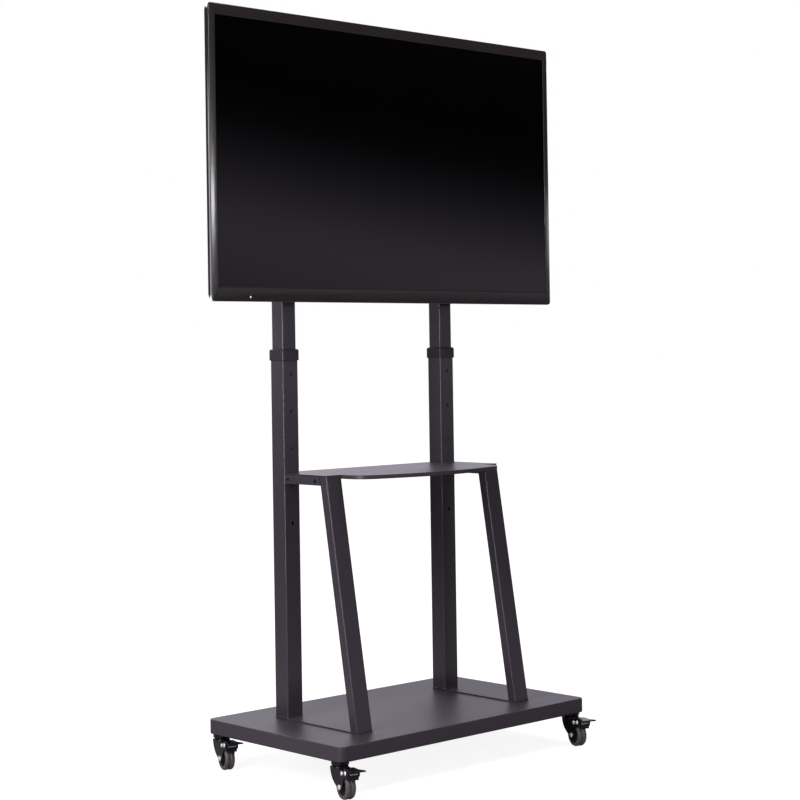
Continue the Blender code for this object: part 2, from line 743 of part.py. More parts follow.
def make_display(display):
    """A bezel that rises from its outer edge to a crest round the screen, a clear band and a rear cover."""
    place = display.location
    frame = rounded_rectangle(DISPLAY_WIDTH, DISPLAY_HEIGHT, DISPLAY_CORNER_RADIUS, steps=4)
    softened = rounded_rectangle(
        DISPLAY_WIDTH - 2 * BEZEL_CHAMFER,
        DISPLAY_HEIGHT - 2 * BEZEL_CHAMFER,
        DISPLAY_CORNER_RADIUS - BEZEL_CHAMFER,
        steps=4,
    )
    window = rounded_rectangle(SCREEN_WIDTH, SCREEN_HEIGHT, GAP, steps=4)
    crest = rounded_rectangle(SCREEN_WIDTH + 2 * BEZEL_SILL, SCREEN_HEIGHT + 2 * BEZEL_SILL, BEZEL_SILL, steps=4)
    panel_width = SCREEN_WIDTH + 2 * PANEL_MARGIN
    panel_height = SCREEN_HEIGHT + 2 * PANEL_MARGIN
    pocket = rounded_rectangle(panel_width + 2 * GAP, panel_height + 2 * GAP, GAP * 2, steps=4)
    bezel_back = DISPLAY_FRONT + BEZEL_DEPTH
    loops = [
        on_wall(frame, DISPLAY_CENTRE_Z, bezel_back),
        on_wall(frame, DISPLAY_CENTRE_Z, DISPLAY_FRONT + BEZEL_FALL + BEZEL_CHAMFER),
        on_wall(softened, DISPLAY_CENTRE_Z, DISPLAY_FRONT + BEZEL_FALL),
        on_wall(crest, SCREEN_CENTRE_Z, DISPLAY_FRONT),
        on_wall(window, SCREEN_CENTRE_Z, DISPLAY_FRONT + BEZEL_SILL_DEPTH),
        on_wall(window, SCREEN_CENTRE_Z, DISPLAY_FRONT + BEZEL_LIP),
        on_wall(pocket, SCREEN_CENTRE_Z, DISPLAY_FRONT + BEZEL_LIP),
        on_wall(pocket, SCREEN_CENTRE_Z, bezel_back),
    ]
    bezel = piece("display_bezel", skin(loops, ring=True), "bezel_plastic", display, place)

    light_x = -DISPLAY_WIDTH / 2 + STATUS_LIGHT_INSET_X
    light_z = DISPLAY_BOTTOM + STATUS_LIGHT_INSET_Z
    light_front = DISPLAY_FRONT + BEZEL_FALL * (1 - STATUS_LIGHT_INSET_Z / (BEZEL_BOTTOM - BEZEL_SILL))
    well = rod(STATUS_LIGHT_DIAMETER + 2 * GAP, -STATUS_LIGHT_DEPTH, STATUS_LIGHT_DEPTH, axis="Y")
    combine(bezel, moved(well, light_x, light_front, light_z), offset=place)
    radius = STATUS_LIGHT_DIAMETER / 2
    profile = [
        (0, -radius * 0.2),
        (radius * 0.8, -radius * 0.1),
        (radius, radius * 0.15),
        (radius, STATUS_LIGHT_DEPTH - GAP),
        (0, STATUS_LIGHT_DEPTH - GAP),
    ]
    lamp = moved(turned(profile, 16, axis="Y"), light_x, light_front, light_z)
    piece("status_light", lamp, "lamp_window", display, place)

    panel_front = DISPLAY_FRONT + BEZEL_LIP + GAP
    panel = box(
        (-panel_width / 2, panel_front, SCREEN_CENTRE_Z - panel_height / 2),
        (panel_width / 2, panel_front + PANEL_THICKNESS, SCREEN_CENTRE_Z + panel_height / 2),
    )
    piece("screen_panel", panel, "screen_glass", display, place)

    band_front = bezel_back + GAP
    band_back = band_front + EDGE_BAND_DEPTH
    proud = rounded_rectangle(
        DISPLAY_WIDTH + 2 * EDGE_BAND_PROUD,
        DISPLAY_HEIGHT + 2 * EDGE_BAND_PROUD,
        DISPLAY_CORNER_RADIUS + EDGE_BAND_PROUD,
        steps=4,
    )
    throat = rounded_rectangle(
        DISPLAY_WIDTH - 4 * REAR_SHELL,
        DISPLAY_HEIGHT - 4 * REAR_SHELL,
        DISPLAY_CORNER_RADIUS - 2 * REAR_SHELL,
        steps=4,
    )
    loops = [
        on_wall(proud, DISPLAY_CENTRE_Z, band_back),
        on_wall(proud, DISPLAY_CENTRE_Z, band_front),
        on_wall(throat, DISPLAY_CENTRE_Z, band_front),
        on_wall(throat, DISPLAY_CENTRE_Z, band_back),
    ]
    piece("display_edge_band", skin(loops, ring=True), "clear_edge", display, place)

    def rear(width, height, y):
        return on_wall(rounded_rectangle(width, height, REAR_CORNER_RADIUS, steps=4), DISPLAY_CENTRE_Z, y)

    rim_front = band_back + GAP
    rim_back = rim_front + REAR_RIM_DEPTH
    plate = DISPLAY_FRONT + REAR_PLATE_DEPTH
    outside = [
        (DISPLAY_WIDTH, DISPLAY_HEIGHT, rim_front),
        (DISPLAY_WIDTH, DISPLAY_HEIGHT, rim_back),
        (DISPLAY_WIDTH - 2 * REAR_PLATE_SLOPE, DISPLAY_HEIGHT - 2 * REAR_PLATE_SLOPE, plate),
        (REAR_HUMP_WIDTH + 2 * REAR_HUMP_SLOPE, REAR_HUMP_HEIGHT + 2 * REAR_HUMP_SLOPE, plate + GAP),
        (REAR_HUMP_WIDTH, REAR_HUMP_HEIGHT, DISPLAY_REAR),
    ]
    thin = 2 * REAR_SHELL
    inside = [(width - thin, height - thin, y - REAR_SHELL) for width, height, y in outside[1:]]
    inside = [(DISPLAY_WIDTH - thin, DISPLAY_HEIGHT - thin, rim_front)] + inside
    loops = [rear(*step) for step in inside[::-1] + outside]
    piece("display_rear_cover", skin(loops), "bezel_plastic", display, place)

    chassis_front = panel_front + PANEL_THICKNESS + GAP
    chassis = box(
        (-panel_width / 2, chassis_front, SCREEN_CENTRE_Z - panel_height / 2),
        (panel_width / 2, chassis_front + CHASSIS_SHEET, SCREEN_CENTRE_Z + panel_height / 2),
    )
    piece("display_chassis", chassis, "zinc_steel", display, place)


def curve(start, control, end, steps):
    """Points of a quadratic curve, without its start."""
    points = []
    for step in range(1, steps + 1):
        t = step / steps
        points.append(
            tuple(
                (1 - t) ** 2 * a + 2 * t * (1 - t) * b + t * t * c
                for a, b, c in zip(start, control, end)
            )
        )
    return points


def fork_cheek(crown_front, top):
    """Side view of a fork's cheek in (x, z): it sweeps down to a boss round the axle, with an ear for the pedal."""
    boss = FORK_BOSS_RADIUS
    start = (-crown_front, top)
    left = (CASTER_TRAIL - boss * 0.7, AXLE_Z - boss * 0.7)
    points = [start]
    points += curve(start, (-crown_front, AXLE_Z + boss), left, 6)
    for step in range(1, 6):
        angle = math.radians(225 + 135 * step / 5)
        points.append((CASTER_TRAIL + boss * math.cos(angle), AXLE_Z + boss * math.sin(angle)))
    under = top - FORK_EAR_HEIGHT
    nose = FORK_EAR_HEIGHT / 2
    neck = (FORK_NECK_REACH, under - FORK_EAR_HEIGHT)
    chin = (FORK_EAR_REACH - nose, under)
    points.append(neck)
    points += curve(neck, (FORK_NECK_REACH, under), chin, 4)
    points += curve(chin, (FORK_EAR_REACH, under), (FORK_EAR_REACH, under + nose), 3)
    points.append((FORK_EAR_REACH, top))
    return points


def make_caster(root, name, row_y, side_x, heading):
    kingpin = (side_x, row_y, BASE_BOTTOM)
    half_race = RACE_DIAMETER / 2
    stem = STEM_DIAMETER / 2
    race_bottom = -RACE_HEIGHT
    crown_top = race_bottom - GAP
    crown_bottom = crown_top - FORK_CROWN_HEIGHT
    wall_top = BASE_TUBE_WALL + GAP
    rivet = STEM_RIVET_DIAMETER / 2
    profile = [
        (0, crown_bottom - GAP - FORK_SHEET),
        (rivet, crown_bottom - GAP - FORK_SHEET),
        (rivet, crown_bottom - GAP),
        (stem, crown_bottom - GAP),
        (stem, race_bottom),
        (half_race * 0.93, race_bottom),
        (half_race, race_bottom * 0.85),
        (half_race, -GAP),
        (stem, -GAP),
        (stem, wall_top),
        (STEM_NUT_DIAMETER / 2, wall_top),
        (STEM_NUT_DIAMETER / 2, wall_top + STEM_NUT_HEIGHT),
        (stem, wall_top + STEM_NUT_HEIGHT),
        (stem, STEM_LENGTH),
        (0, STEM_LENGTH),
    ]
    mount = body(f"caster_mount_{name}", kingpin, heading, root)
    piece(f"caster_stem_{name}", turned(profile, 20), "caster_black", mount)

    swivel = body(f"caster_swivel_{name}", kingpin, heading, root)
    crown_front = half_race * 0.95
    pivot = PEDAL_PIVOT_DIAMETER / 2
    pivot_x = CASTER_TRAIL + PEDAL_PIVOT_AHEAD
    pivot_z = AXLE_Z + WHEEL_RADIUS + pivot + 6 * GAP
    crown_back = pivot_x - pivot - 4 * GAP
    outline = fork_cheek(crown_front, crown_bottom + FORK_SHEET)
    cheek = skin([[(x, y, z) for x, z in outline] for y in (-FORK_OUTER, -FORK_INNER)])
    fork = piece(f"caster_fork_{name}", cheek, "caster_black", swivel)
    combine(fork, skin([[(x, y, z) for x, z in outline] for y in (FORK_INNER, FORK_OUTER)]), "UNION")
    bridge = box(
        (-crown_front, -FORK_OUTER + GAP, crown_bottom), (crown_back, FORK_OUTER - GAP, crown_bottom + FORK_SHEET)
    )
    combine(fork, bridge, "UNION")
    profile = [
        (0, crown_bottom + GAP),
        (half_race * 0.93, crown_bottom + GAP),
        (half_race * 0.93, crown_top - FORK_SHEET),
        (half_race * 0.8, crown_top),
        (0, crown_top),
    ]
    combine(fork, turned(profile, 20), "UNION")
    reach = FORK_OUTER + FORK_SHEET
    bores = [
        rod(STEM_DIAMETER + 2 * GAP, crown_bottom - FORK_SHEET, crown_top + FORK_SHEET, steps=20),
        moved(rod(AXLE_DIAMETER + 2 * GAP, -reach, reach, axis="Y"), CASTER_TRAIL, 0, AXLE_Z),
        moved(rod(pivot + 2 * GAP, -reach, reach, axis="Y"), pivot_x, 0, pivot_z),
    ]
    combine(fork, merged(bores))

    head = AXLE_HEAD_DIAMETER / 2
    outer = FORK_OUTER + GAP
    end = outer + AXLE_HEAD_HEIGHT
    axle = AXLE_DIAMETER / 2
    profile = [
        (0, -end),
        (head * 0.7, -end),
        (head, -end + AXLE_HEAD_HEIGHT * 0.35),
        (head, -outer),
        (axle, -outer),
        (axle, outer),
        (head, outer),
        (head, end - AXLE_HEAD_HEIGHT * 0.35),
        (head * 0.7, end),
        (0, end),
    ]
    bolt = moved(turned(profile, 18, axis="Y"), CASTER_TRAIL, 0, AXLE_Z)
    piece(f"axle_bolt_{name}", bolt, "zinc_steel", swivel)

    wheel = body(f"caster_wheel_{name}", (CASTER_TRAIL, 0, AXLE_Z), 0, swivel)
    half = TYRE_WIDTH / 2
    seat = WHEEL_RADIUS - TYRE_THICKNESS
    groove = WHEEL_RADIUS - TYRE_GROOVE_DEPTH
    one_side = [
        (groove, half * 0.06),
        (WHEEL_RADIUS - TYRE_GROOVE_DEPTH * 0.15, half * 0.22),
        (WHEEL_RADIUS, half * 0.5),
        (WHEEL_RADIUS - TYRE_THICKNESS * 0.12, half * 0.85),
        (WHEEL_RADIUS - TYRE_THICKNESS * 0.45, half),
        (seat, half),
    ]
    profile = one_side + [(radius, -z) for radius, z in reversed(one_side)]
    piece(f"tyre_{name}", turned(profile, 30, ring=True, axis="Y"), "tyre_grey", wheel)
    bore = axle + GAP
    rim = seat - GAP
    one_side = [
        (rim, half * 0.92),
        (rim * 0.86, half * 0.92),
        (rim * 0.80, half * 0.45),
        (bore + AXLE_DIAMETER * 0.7, half * 0.55),
        (bore + AXLE_DIAMETER * 0.55, HUB_HALF_WIDTH),
        (bore, HUB_HALF_WIDTH),
    ]
    profile = one_side + [(radius, -z) for radius, z in reversed(one_side)]
    piece(f"wheel_hub_{name}", turned(profile, 20, ring=True, axis="Y"), "black_plastic", wheel)

    make_pedal(swivel, name, pivot_x, pivot_z)


def make_pedal(swivel, name, pivot_x, pivot_z):
    """The brake pedal, in its pivot's coordinates: trunnions, a tongue over the tyre, a shoe and a foot pad."""
    carrier = body(f"pedal_pivot_{name}", (pivot_x, 0, pivot_z), 0, swivel)
    pivot = PEDAL_PIVOT_DIAMETER / 2
    tongue_half = FORK_INNER - 3 * GAP
    trunnion = pivot / 2
    profile = [
        (0, -FORK_OUTER),
        (trunnion, -FORK_OUTER),
        (trunnion, -tongue_half),
        (pivot, -tongue_half),
        (pivot, tongue_half),
        (trunnion, tongue_half),
        (trunnion, FORK_OUTER),
        (0, FORK_OUTER),
    ]
    pedal = piece(f"brake_pedal_{name}", turned(profile, 16, axis="Y"), "caster_black", carrier)
    reach = PEDAL_REACH - pivot_x
    top = pivot * 0.9
    neck = PEDAL_NECK_WIDTH / 2
    pad_start = CASTER_TRAIL * 0.4
    tongue = box((0, -tongue_half + GAP, top - PEDAL_THICKNESS), (pad_start + pivot, tongue_half - GAP, top))
    combine(pedal, tongue, "UNION")
    half = PEDAL_WIDTH / 2
    corner_x = reach - PEDAL_TIP_CORNER
    side_curve = curve((pad_start, neck), ((pad_start + corner_x) / 2, neck), (corner_x, half), 6)
    plan = [(x, -y) for x, y in [(pad_start, neck)] + side_curve]
    plan += curve((corner_x, -half), (reach + PEDAL_TIP_CORNER, 0), (corner_x, half), 6)
    plan += side_curve[-2::-1] + [(pad_start, neck)]

    def rise(x):
        share = (x - pad_start) / (reach - pad_start)
        return top - GAP + PEDAL_RISE * share

    pad = skin(
        [
            [(x, y, rise(x) - PEDAL_THICKNESS) for x, y in plan],
            [(x, y, rise(x)) for x, y in plan],
        ]
    )
    combine(pedal, pad, "UNION")
    tab_x = RELEASE_TAB_REACH - pivot_x
    tab_half = RELEASE_TAB_WIDTH / 2
    tab = box(
        (tab_x, -tab_half, top - RELEASE_TAB_DROP),
        (tab_x + PEDAL_THICKNESS, tab_half, rise(tab_x) - PEDAL_THICKNESS / 2),
    )
    combine(pedal, tab, "UNION")

    # The shoe meets the tyre when the pedal is down, so it stands that much higher at rest
    lift = math.radians(PEDAL_TRAVEL)
    face = WHEEL_RADIUS + 2 * GAP
    ahead = pivot_x - CASTER_TRAIL
    angle = math.asin((pad_start * 0.75 + ahead) / face)
    half_shoe = BRAKE_SHOE_LENGTH / 2
    corners = []
    for along, out in ((-half_shoe, 0.0), (half_shoe, 0.0), (half_shoe, 1.0), (-half_shoe, 1.0)):
        radius = face + out * WHEEL_RADIUS
        x = radius * math.sin(angle) + along * math.cos(angle) - ahead
        z = radius * math.cos(angle) - along * math.sin(angle) + AXLE_Z - pivot_z
        up = x * math.sin(lift) + z * math.cos(lift)
        corners.append((x * math.cos(lift) - z * math.sin(lift), min(up, top - 2 * GAP)))
    shoe_half = TYRE_WIDTH / 2 - 4 * GAP
    shoe = skin([[(x, y, z) for x, z in corners] for y in (-shoe_half, shoe_half)])
    combine(pedal, shoe, "UNION")


def make_casters(root):
    for name, heading in CASTER_HEADINGS.items():
        row, side = name.split("_")
        row_y = BASE_FRONT + CASTER_INSET_Y if row == "front" else BASE_BACK - CASTER_INSET_Y
        # Local +X is the way the wheel trails, so a heading of zero points to the front
        make_caster(root, name, row_y, SIDES[side] * CASTER_X, heading - 90)


def make_stand():
    root = body("stand")
    make_base(root)
    for name, side in SIDES.items():
        make_side_frame(root, name, side)
        make_collar(root, name, side)
    make_shelf(root)
    make_shelf_bolts(root)
    mast = body("mast", (0, POST_Y, POST_TOP), 0, root)
    make_mast(mast)
    display = body("display", (0, POST_Y, DISPLAY_CENTRE_Z), 0, root)
    for name, side in SIDES.items():
        make_bracket_arm(display, name, side)
    make_display(display)
    make_casters(root)


clear_scene()
make_stand()
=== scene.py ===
import json
import math

import bmesh
import bpy
from mathutils import Matrix, Vector


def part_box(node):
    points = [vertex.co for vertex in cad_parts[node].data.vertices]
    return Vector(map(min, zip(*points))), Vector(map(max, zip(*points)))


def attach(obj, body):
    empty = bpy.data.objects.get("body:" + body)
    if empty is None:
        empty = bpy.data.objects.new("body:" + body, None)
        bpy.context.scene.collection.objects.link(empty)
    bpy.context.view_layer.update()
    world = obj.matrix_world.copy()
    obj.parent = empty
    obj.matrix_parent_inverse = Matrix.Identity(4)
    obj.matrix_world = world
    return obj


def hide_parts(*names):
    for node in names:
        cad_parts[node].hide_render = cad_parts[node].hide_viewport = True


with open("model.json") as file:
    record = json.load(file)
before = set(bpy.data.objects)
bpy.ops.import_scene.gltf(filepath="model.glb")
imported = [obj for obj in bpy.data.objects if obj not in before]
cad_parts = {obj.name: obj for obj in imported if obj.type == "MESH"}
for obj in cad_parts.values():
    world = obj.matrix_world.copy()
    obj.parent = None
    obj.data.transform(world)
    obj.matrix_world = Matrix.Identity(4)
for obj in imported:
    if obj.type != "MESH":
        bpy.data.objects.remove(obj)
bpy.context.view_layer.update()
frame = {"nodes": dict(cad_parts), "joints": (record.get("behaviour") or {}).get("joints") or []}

# The studio: a photographer's camera in front and to the left of the stand, at chest height, a tall soft
# lamp and a strip near the left, one high in front, one behind, and two small cards that the bezel mirrors.
CAMERA_AZIMUTH = -42.634
CAMERA_PITCH = -0.242
CAMERA_ROLL = -0.864
CAMERA_FOCUS = 1855.5
CAMERA_CENTRE = (376.98, 346.96)
CAMERA_PLACE = (-3.4329, -3.6256, 1.0826)
PICTURE = 800

turn = Matrix.Rotation(math.radians(CAMERA_AZIMUTH), 4, "Z")
turn @= Matrix.Rotation(math.radians(90 - CAMERA_PITCH), 4, "X")
turn @= Matrix.Rotation(math.radians(CAMERA_ROLL), 4, "Z")
bpy.ops.object.camera_add()
camera = bpy.context.active_object
camera.matrix_world = Matrix.Translation(CAMERA_PLACE) @ turn
camera.data.sensor_width = 36
camera.data.lens = CAMERA_FOCUS / PICTURE * camera.data.sensor_width
camera.data.shift_x = 0.5 - CAMERA_CENTRE[0] / PICTURE
camera.data.shift_y = CAMERA_CENTRE[1] / PICTURE - 0.5
camera.data.clip_end = 100
bpy.context.scene.camera = camera
bpy.context.scene.view_settings.view_transform = "Standard"


def softbox(name, place, aim, width, height, power):
    """A rectangular soft lamp that is turned to what it lights."""
    bpy.ops.object.light_add(type="AREA", location=place)
    lamp = bpy.context.active_object
    lamp.name = name
    lamp.data.shape = "RECTANGLE"
    lamp.data.size = width
    lamp.data.size_y = height
    lamp.data.energy = power
    lamp.rotation_euler = (Vector(aim) - Vector(place)).to_track_quat("-Z", "Y").to_euler()


softbox("lamp_left", (-2.65, -0.25, 2.2), (0, 0, 1.1), 1.0, 1.8, 76)
softbox("strip_left", (-2.6, -0.95, 1.0), (0, 0, 1.0), 0.3, 1.6, 21)
softbox("lamp_front", (0.7, -1.5, 3.4), (0, 0, 0.9), 0.8, 0.5, 32)
softbox("lamp_behind", (0.8, 3.4, 2.6), (0, 0, 0.9), 3.0, 1.6, 28)
softbox("card_front", (0.98, -3.64, 1.80), (-0.6, 0, 1.5), 0.7, 0.20, 13)
softbox("card_right", (4.1, -1.95, 1.70), (0.6, 0, 1.45), 0.6, 0.3, 1.6)


class Wire:
    """A value between two shader nodes, which takes plain sums."""

    def __init__(self, coat, socket):
        self.coat = coat
        self.socket = socket

    def sum(self, operation, first, second):
        """One Math node, of which either side may be a plain number."""
        return self.coat.node("ShaderNodeMath", {"operation": operation}, {0: first, 1: second})

    def __add__(self, other):
        return self.sum("ADD", self, other)

    def __radd__(self, other):
        return self.sum("ADD", other, self)

    def __sub__(self, other):
        return self.sum("SUBTRACT", self, other)

    def __rsub__(self, other):
        return self.sum("SUBTRACT", other, self)

    def __mul__(self, other):
        return self.sum("MULTIPLY", self, other)

    def __rmul__(self, other):
        return self.sum("MULTIPLY", other, self)


class Coat:
    """The node tree of one finish or of the studio's surroundings."""

    def __init__(self, tree):
        self.tree = tree
        tree.nodes.clear()

    def node(self, kind, settings=None, inputs=None, output=0):
        """Any node: its settings come first, then the values or links of its sockets."""
        made = self.tree.nodes.new(kind)
        for key, value in (settings or {}).items():
            if key == "stops":
                ramp = made.color_ramp.elements
                while len(ramp) < len(value):
                    ramp.new(0.5)
                for stop, (place, shade) in zip(ramp, value):
                    stop.position = place
                    stop.color = shade
            else:
                setattr(made, key, value)
        for key, value in (inputs or {}).items():
            if isinstance(value, Wire):
                self.tree.links.new(value.socket, made.inputs[key])
            else:
                made.inputs[key].default_value = value
        return Wire(self, made.outputs[output]) if made.outputs else made

    def part(self, vector, axis):
        """One of a vector's three parts, by the name of its axis."""
        return self.node("ShaderNodeSeparateXYZ", inputs={0: vector}, output=axis)

    def fade(self, value, start, end):
        """Runs from 0 at start to 1 at end, and holds those beyond them."""
        limits = {"Value": value, "From Min": start, "From Max": end}
        return self.node("ShaderNodeMapRange", {"clamp": True}, limits)

    def mix(self, share, first, second):
        """Two colours mixed, with the given share of the second."""
        parts = {"Factor": share, "A": first, "B": second}
        return self.node("ShaderNodeMix", {"data_type": "RGBA"}, parts, 2)

    def ramp(self, value, *stops):
        """A cool grey through pairs of place and brightness."""
        red, green, blue = COOL_GREY
        shades = [(place, (light * red, light * green, light * blue, 1)) for place, light in stops]
        return self.node("ShaderNodeValToRGB", {"stops": shades}, {0: value})


# The surroundings: white to the camera, a dim even grey as light, and a room to what mirrors. In front
# a pale wall, whose upper edge leans down to the right, has dark above it. The backdrop is pale.
COOL_GREY = (1.04, 1.0, 1.14)
WALL_LEAN = 0.286
WALL_DROP = 0.177
AMBIENT = (0.165, 0.16, 0.175, 1)
WHITE = (1, 1, 1, 1)
# Where the front wall gives way to the backdrop, and the backdrop to its dimmer left part
BACKDROP_DEPTH = (-0.15, 0.25)
BACKDROP_LEFT = (-0.15, -0.45)

world = bpy.data.worlds.new("studio_air")
world.use_nodes = True
bpy.context.scene.world = world
air = Coat(world.node_tree)
seen = air.node("ShaderNodeLightPath", output="Is Camera Ray")
seen = seen + air.node("ShaderNodeLightPath", output="Is Transmission Ray")
mirrored = air.node("ShaderNodeLightPath", output="Is Glossy Ray")
way = air.node("ShaderNodeTexCoord", output="Generated")
across = air.part(way, "X")
depth = air.part(way, "Y")
height = air.part(way, "Z")
wall = air.ramp(
    height + across * WALL_LEAN - WALL_DROP,
    (0.030, 0.33), (0.050, 0.45), (0.065, 0.49), (0.076, 0.47), (0.085, 0.35), (0.095, 0.24),
    (0.105, 0.14), (0.116, 0.065), (0.127, 0.02), (0.145, 0.002), (0.25, 0.05), (1.0, 0.06),
)
backdrop = air.ramp(height, (0.0, 0.9), (0.30, 0.9), (0.55, 0.32), (1.0, 0.22))
left_wall = air.ramp(height, (0.0, 0.32), (0.115, 0.30), (0.145, 0.04), (1.0, 0.03))
backdrop = air.mix(air.fade(across, *BACKDROP_LEFT), backdrop, left_wall)
room = air.mix(air.fade(depth, *BACKDROP_DEPTH), wall, backdrop)
room = air.mix(mirrored, AMBIENT, room)
room = air.mix(seen, room, WHITE)
sky = air.node("ShaderNodeBackground", inputs={"Color": room, "Strength": 1.0})
air.node("ShaderNodeOutputWorld", inputs={"Surface": sky})


# The floor: a plain pale sheet that keeps the object's shadow. It glows for the camera alone, a
# little more away from the object, so that it meets the white backdrop without an edge.
FLOOR_SIZE = 60
FLOOR_GREY = (0.32, 0.32, 0.32, 1)
FLOOR_GLOW = 0.90
FLOOR_GLOW_RISE = 0.13
FLOOR_RISE_FROM = 0.7
FLOOR_RISE_TO = 2.6

bpy.ops.mesh.primitive_plane_add(size=FLOOR_SIZE, location=(0, 0, 0))
floor = bpy.context.active_object
floor.name = "studio_floor"
floor_finish = bpy.data.materials.new("studio_floor")
floor_finish.use_nodes = True
sweep = Coat(floor_finish.node_tree)
matt = sweep.node("ShaderNodeBsdfDiffuse", inputs={"Color": FLOOR_GREY})
seen = sweep.node("ShaderNodeLightPath", output="Is Camera Ray")
spot = sweep.node("ShaderNodeTexCoord", output="Object")
away = sweep.node("ShaderNodeVectorMath", {"operation": "LENGTH"}, {0: spot}, "Value")
rise = sweep.fade(away, FLOOR_RISE_FROM, FLOOR_RISE_TO) * FLOOR_GLOW_RISE
glow = sweep.node("ShaderNodeEmission", inputs={"Color": WHITE, "Strength": seen * (rise + FLOOR_GLOW)})
surface = sweep.node("ShaderNodeAddShader", inputs={0: matt, 1: glow})
sweep.node("ShaderNodeOutputMaterial", inputs={"Surface": surface})
floor.data.materials.append(floor_finish)


# The base: a tray pressed and welded from 2 mm sheet steel, open below, with a small round along its
# top edge, a lower edge rolled in, and charcoal powder coat. Four rectangular tubes stiffen it inside.
BASE_CORNER = 0.020
BASE_EDGE = 0.0025
BASE_ROLL = 0.0045
BASE_SHEET = 0.002
LEVEL = 1e-5


class Finish(Coat):
    """A Principled material, whose fixed numbers are set on the shader by name."""

    def __init__(self, name, **fixed):
        self.material = bpy.data.materials.new(name)
        self.material.use_nodes = True
        super().__init__(self.material.node_tree)
        self.shader = self.tree.nodes.new("ShaderNodeBsdfPrincipled")
        for key, value in fixed.items():
            self.shader.inputs[key.replace("_", " ")].default_value = value
        self.place = self.node("ShaderNodeTexCoord", output="Object")
        self.node("ShaderNodeOutputMaterial", inputs={"Surface": Wire(self, self.shader.outputs[0])})

    def feed(self, name, wire):
        """Links what varies to one of the shader's sockets."""
        self.tree.links.new(wire.socket, self.shader.inputs[name])

    def noise(self, scale, detail=2.0, roughness=0.5):
        grains = {"Vector": self.place, "Scale": scale, "Detail": detail, "Roughness": roughness}
        return self.node("ShaderNodeTexNoise", inputs=grains)

    def blend(self, share, first, second):
        return self.mix(share, (*first, 1), (*second, 1))

    def bump(self, height, distance, strength=1.0):
        relief = {"Height": height, "Distance": distance, "Strength": strength}
        return self.node("ShaderNodeBump", inputs=relief)


def powder_coat(name, dark, light, gloss, shine):
    """Fine-textured powder coat: grains under a millimetre, a slow drift of tone, and uneven gloss."""
    coat = Finish(name, Metallic=0.0, Specular_IOR_Level=shine, Specular_Tint=(1.0, 0.93, 1.0, 1.0))
    grain = coat.noise(1500, 3, 0.6)
    peel = coat.noise(420, 2, 0.5)
    drift = coat.noise(6, 3, 0.6)
    coat.feed("Base Color", coat.blend(drift * 0.6 + grain * 0.4, dark, light))
    coat.feed("Roughness", peel * 0.12 + drift * 0.06 + gloss)
    coat.feed("Normal", coat.bump(grain * 0.6 + peel, 0.00012, 0.5))
    return coat.material


base_coat = powder_coat("base_powder_coat", (0.034, 0.026, 0.035), (0.052, 0.041, 0.054), 0.34, 0.5)


def hold(*pieces):
    """Back to object mode, with just these pieces selected."""
    if bpy.context.mode != "OBJECT":
        bpy.ops.object.mode_set(mode="OBJECT")
    bpy.ops.object.select_all(action="DESELECT")
    for each in pieces:
        each.select_set(True)
    bpy.context.view_layer.objects.active = pieces[0]


def block(name, low, high):
    """A cube brought to its size and place, with both kept in its mesh."""
    bpy.ops.object.select_all(action="DESELECT")
    middle = [(a + b) / 2 for a, b in zip(low, high)]
    size = [b - a for a, b in zip(low, high)]
    bpy.ops.mesh.primitive_cube_add(size=1, location=middle, scale=size)
    made = bpy.context.active_object
    made.name = name
    bpy.ops.object.transform_apply(location=True, rotation=True, scale=True)
    return made


def choose(piece, kind, test):
    """Goes into edit mode with the edges or faces selected whose middle and direction pass the test."""
    hold(piece)
    bpy.ops.object.mode_set(mode="EDIT")
    bpy.ops.mesh.select_mode(type=kind)
    bpy.ops.mesh.select_all(action="DESELECT")
    mesh = bmesh.from_edit_mesh(piece.data)
    for item in mesh.edges if kind == "EDGE" else mesh.faces:
        middle = sum((vert.co for vert in item.verts), Vector()) / len(item.verts)
        way = item.normal if kind == "FACE" else (item.verts[1].co - item.verts[0].co).normalized()
        if test(middle, way):
            item.select_set(True)
    bmesh.update_edit_mesh(piece.data)


def leave():
    """Out of edit mode."""
    bpy.ops.object.mode_set(mode="OBJECT")


def worked(piece, kind, **settings):
    """Adds a modifier and applies it."""
    hold(piece)
    step = piece.modifiers.new(kind.lower(), kind)
    for key, value in settings.items():
        setattr(step, key, value)
    bpy.ops.object.modifier_apply(modifier=step.name)


def soften(piece, width, segments=3, angle=30):
    """Rounds the edges that are sharper than an angle."""
    worked(
        piece,
        "BEVEL",
        width=width,
        segments=segments,
        limit_method="ANGLE",
        angle_limit=math.radians(angle),
        use_clamp_overlap=False,
        miter_outer="MITER_ARC",
    )
    smooth(piece)


def smooth(piece, angle=35):
    """Smooth shading in which large faces keep their own direction, so that only rounds look round."""
    hold(piece)
    bpy.ops.object.shade_smooth_by_angle(angle=math.radians(angle))
    worked(piece, "WEIGHTED_NORMAL", keep_sharp=True)


def fit(piece, finish, body, slot, *nodes):
    """Gives a piece its finish and its body, and hides the model's nodes that it stands for."""
    piece.data.materials.clear()
    piece.data.materials.append(finish)
    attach(piece, body)
    if nodes:
        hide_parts(*nodes)


def paint(finish, *nodes):
    """Gives the model's own nodes a finish."""
    for node in nodes:
        for place in frame["nodes"][node].material_slots:
            place.material = finish


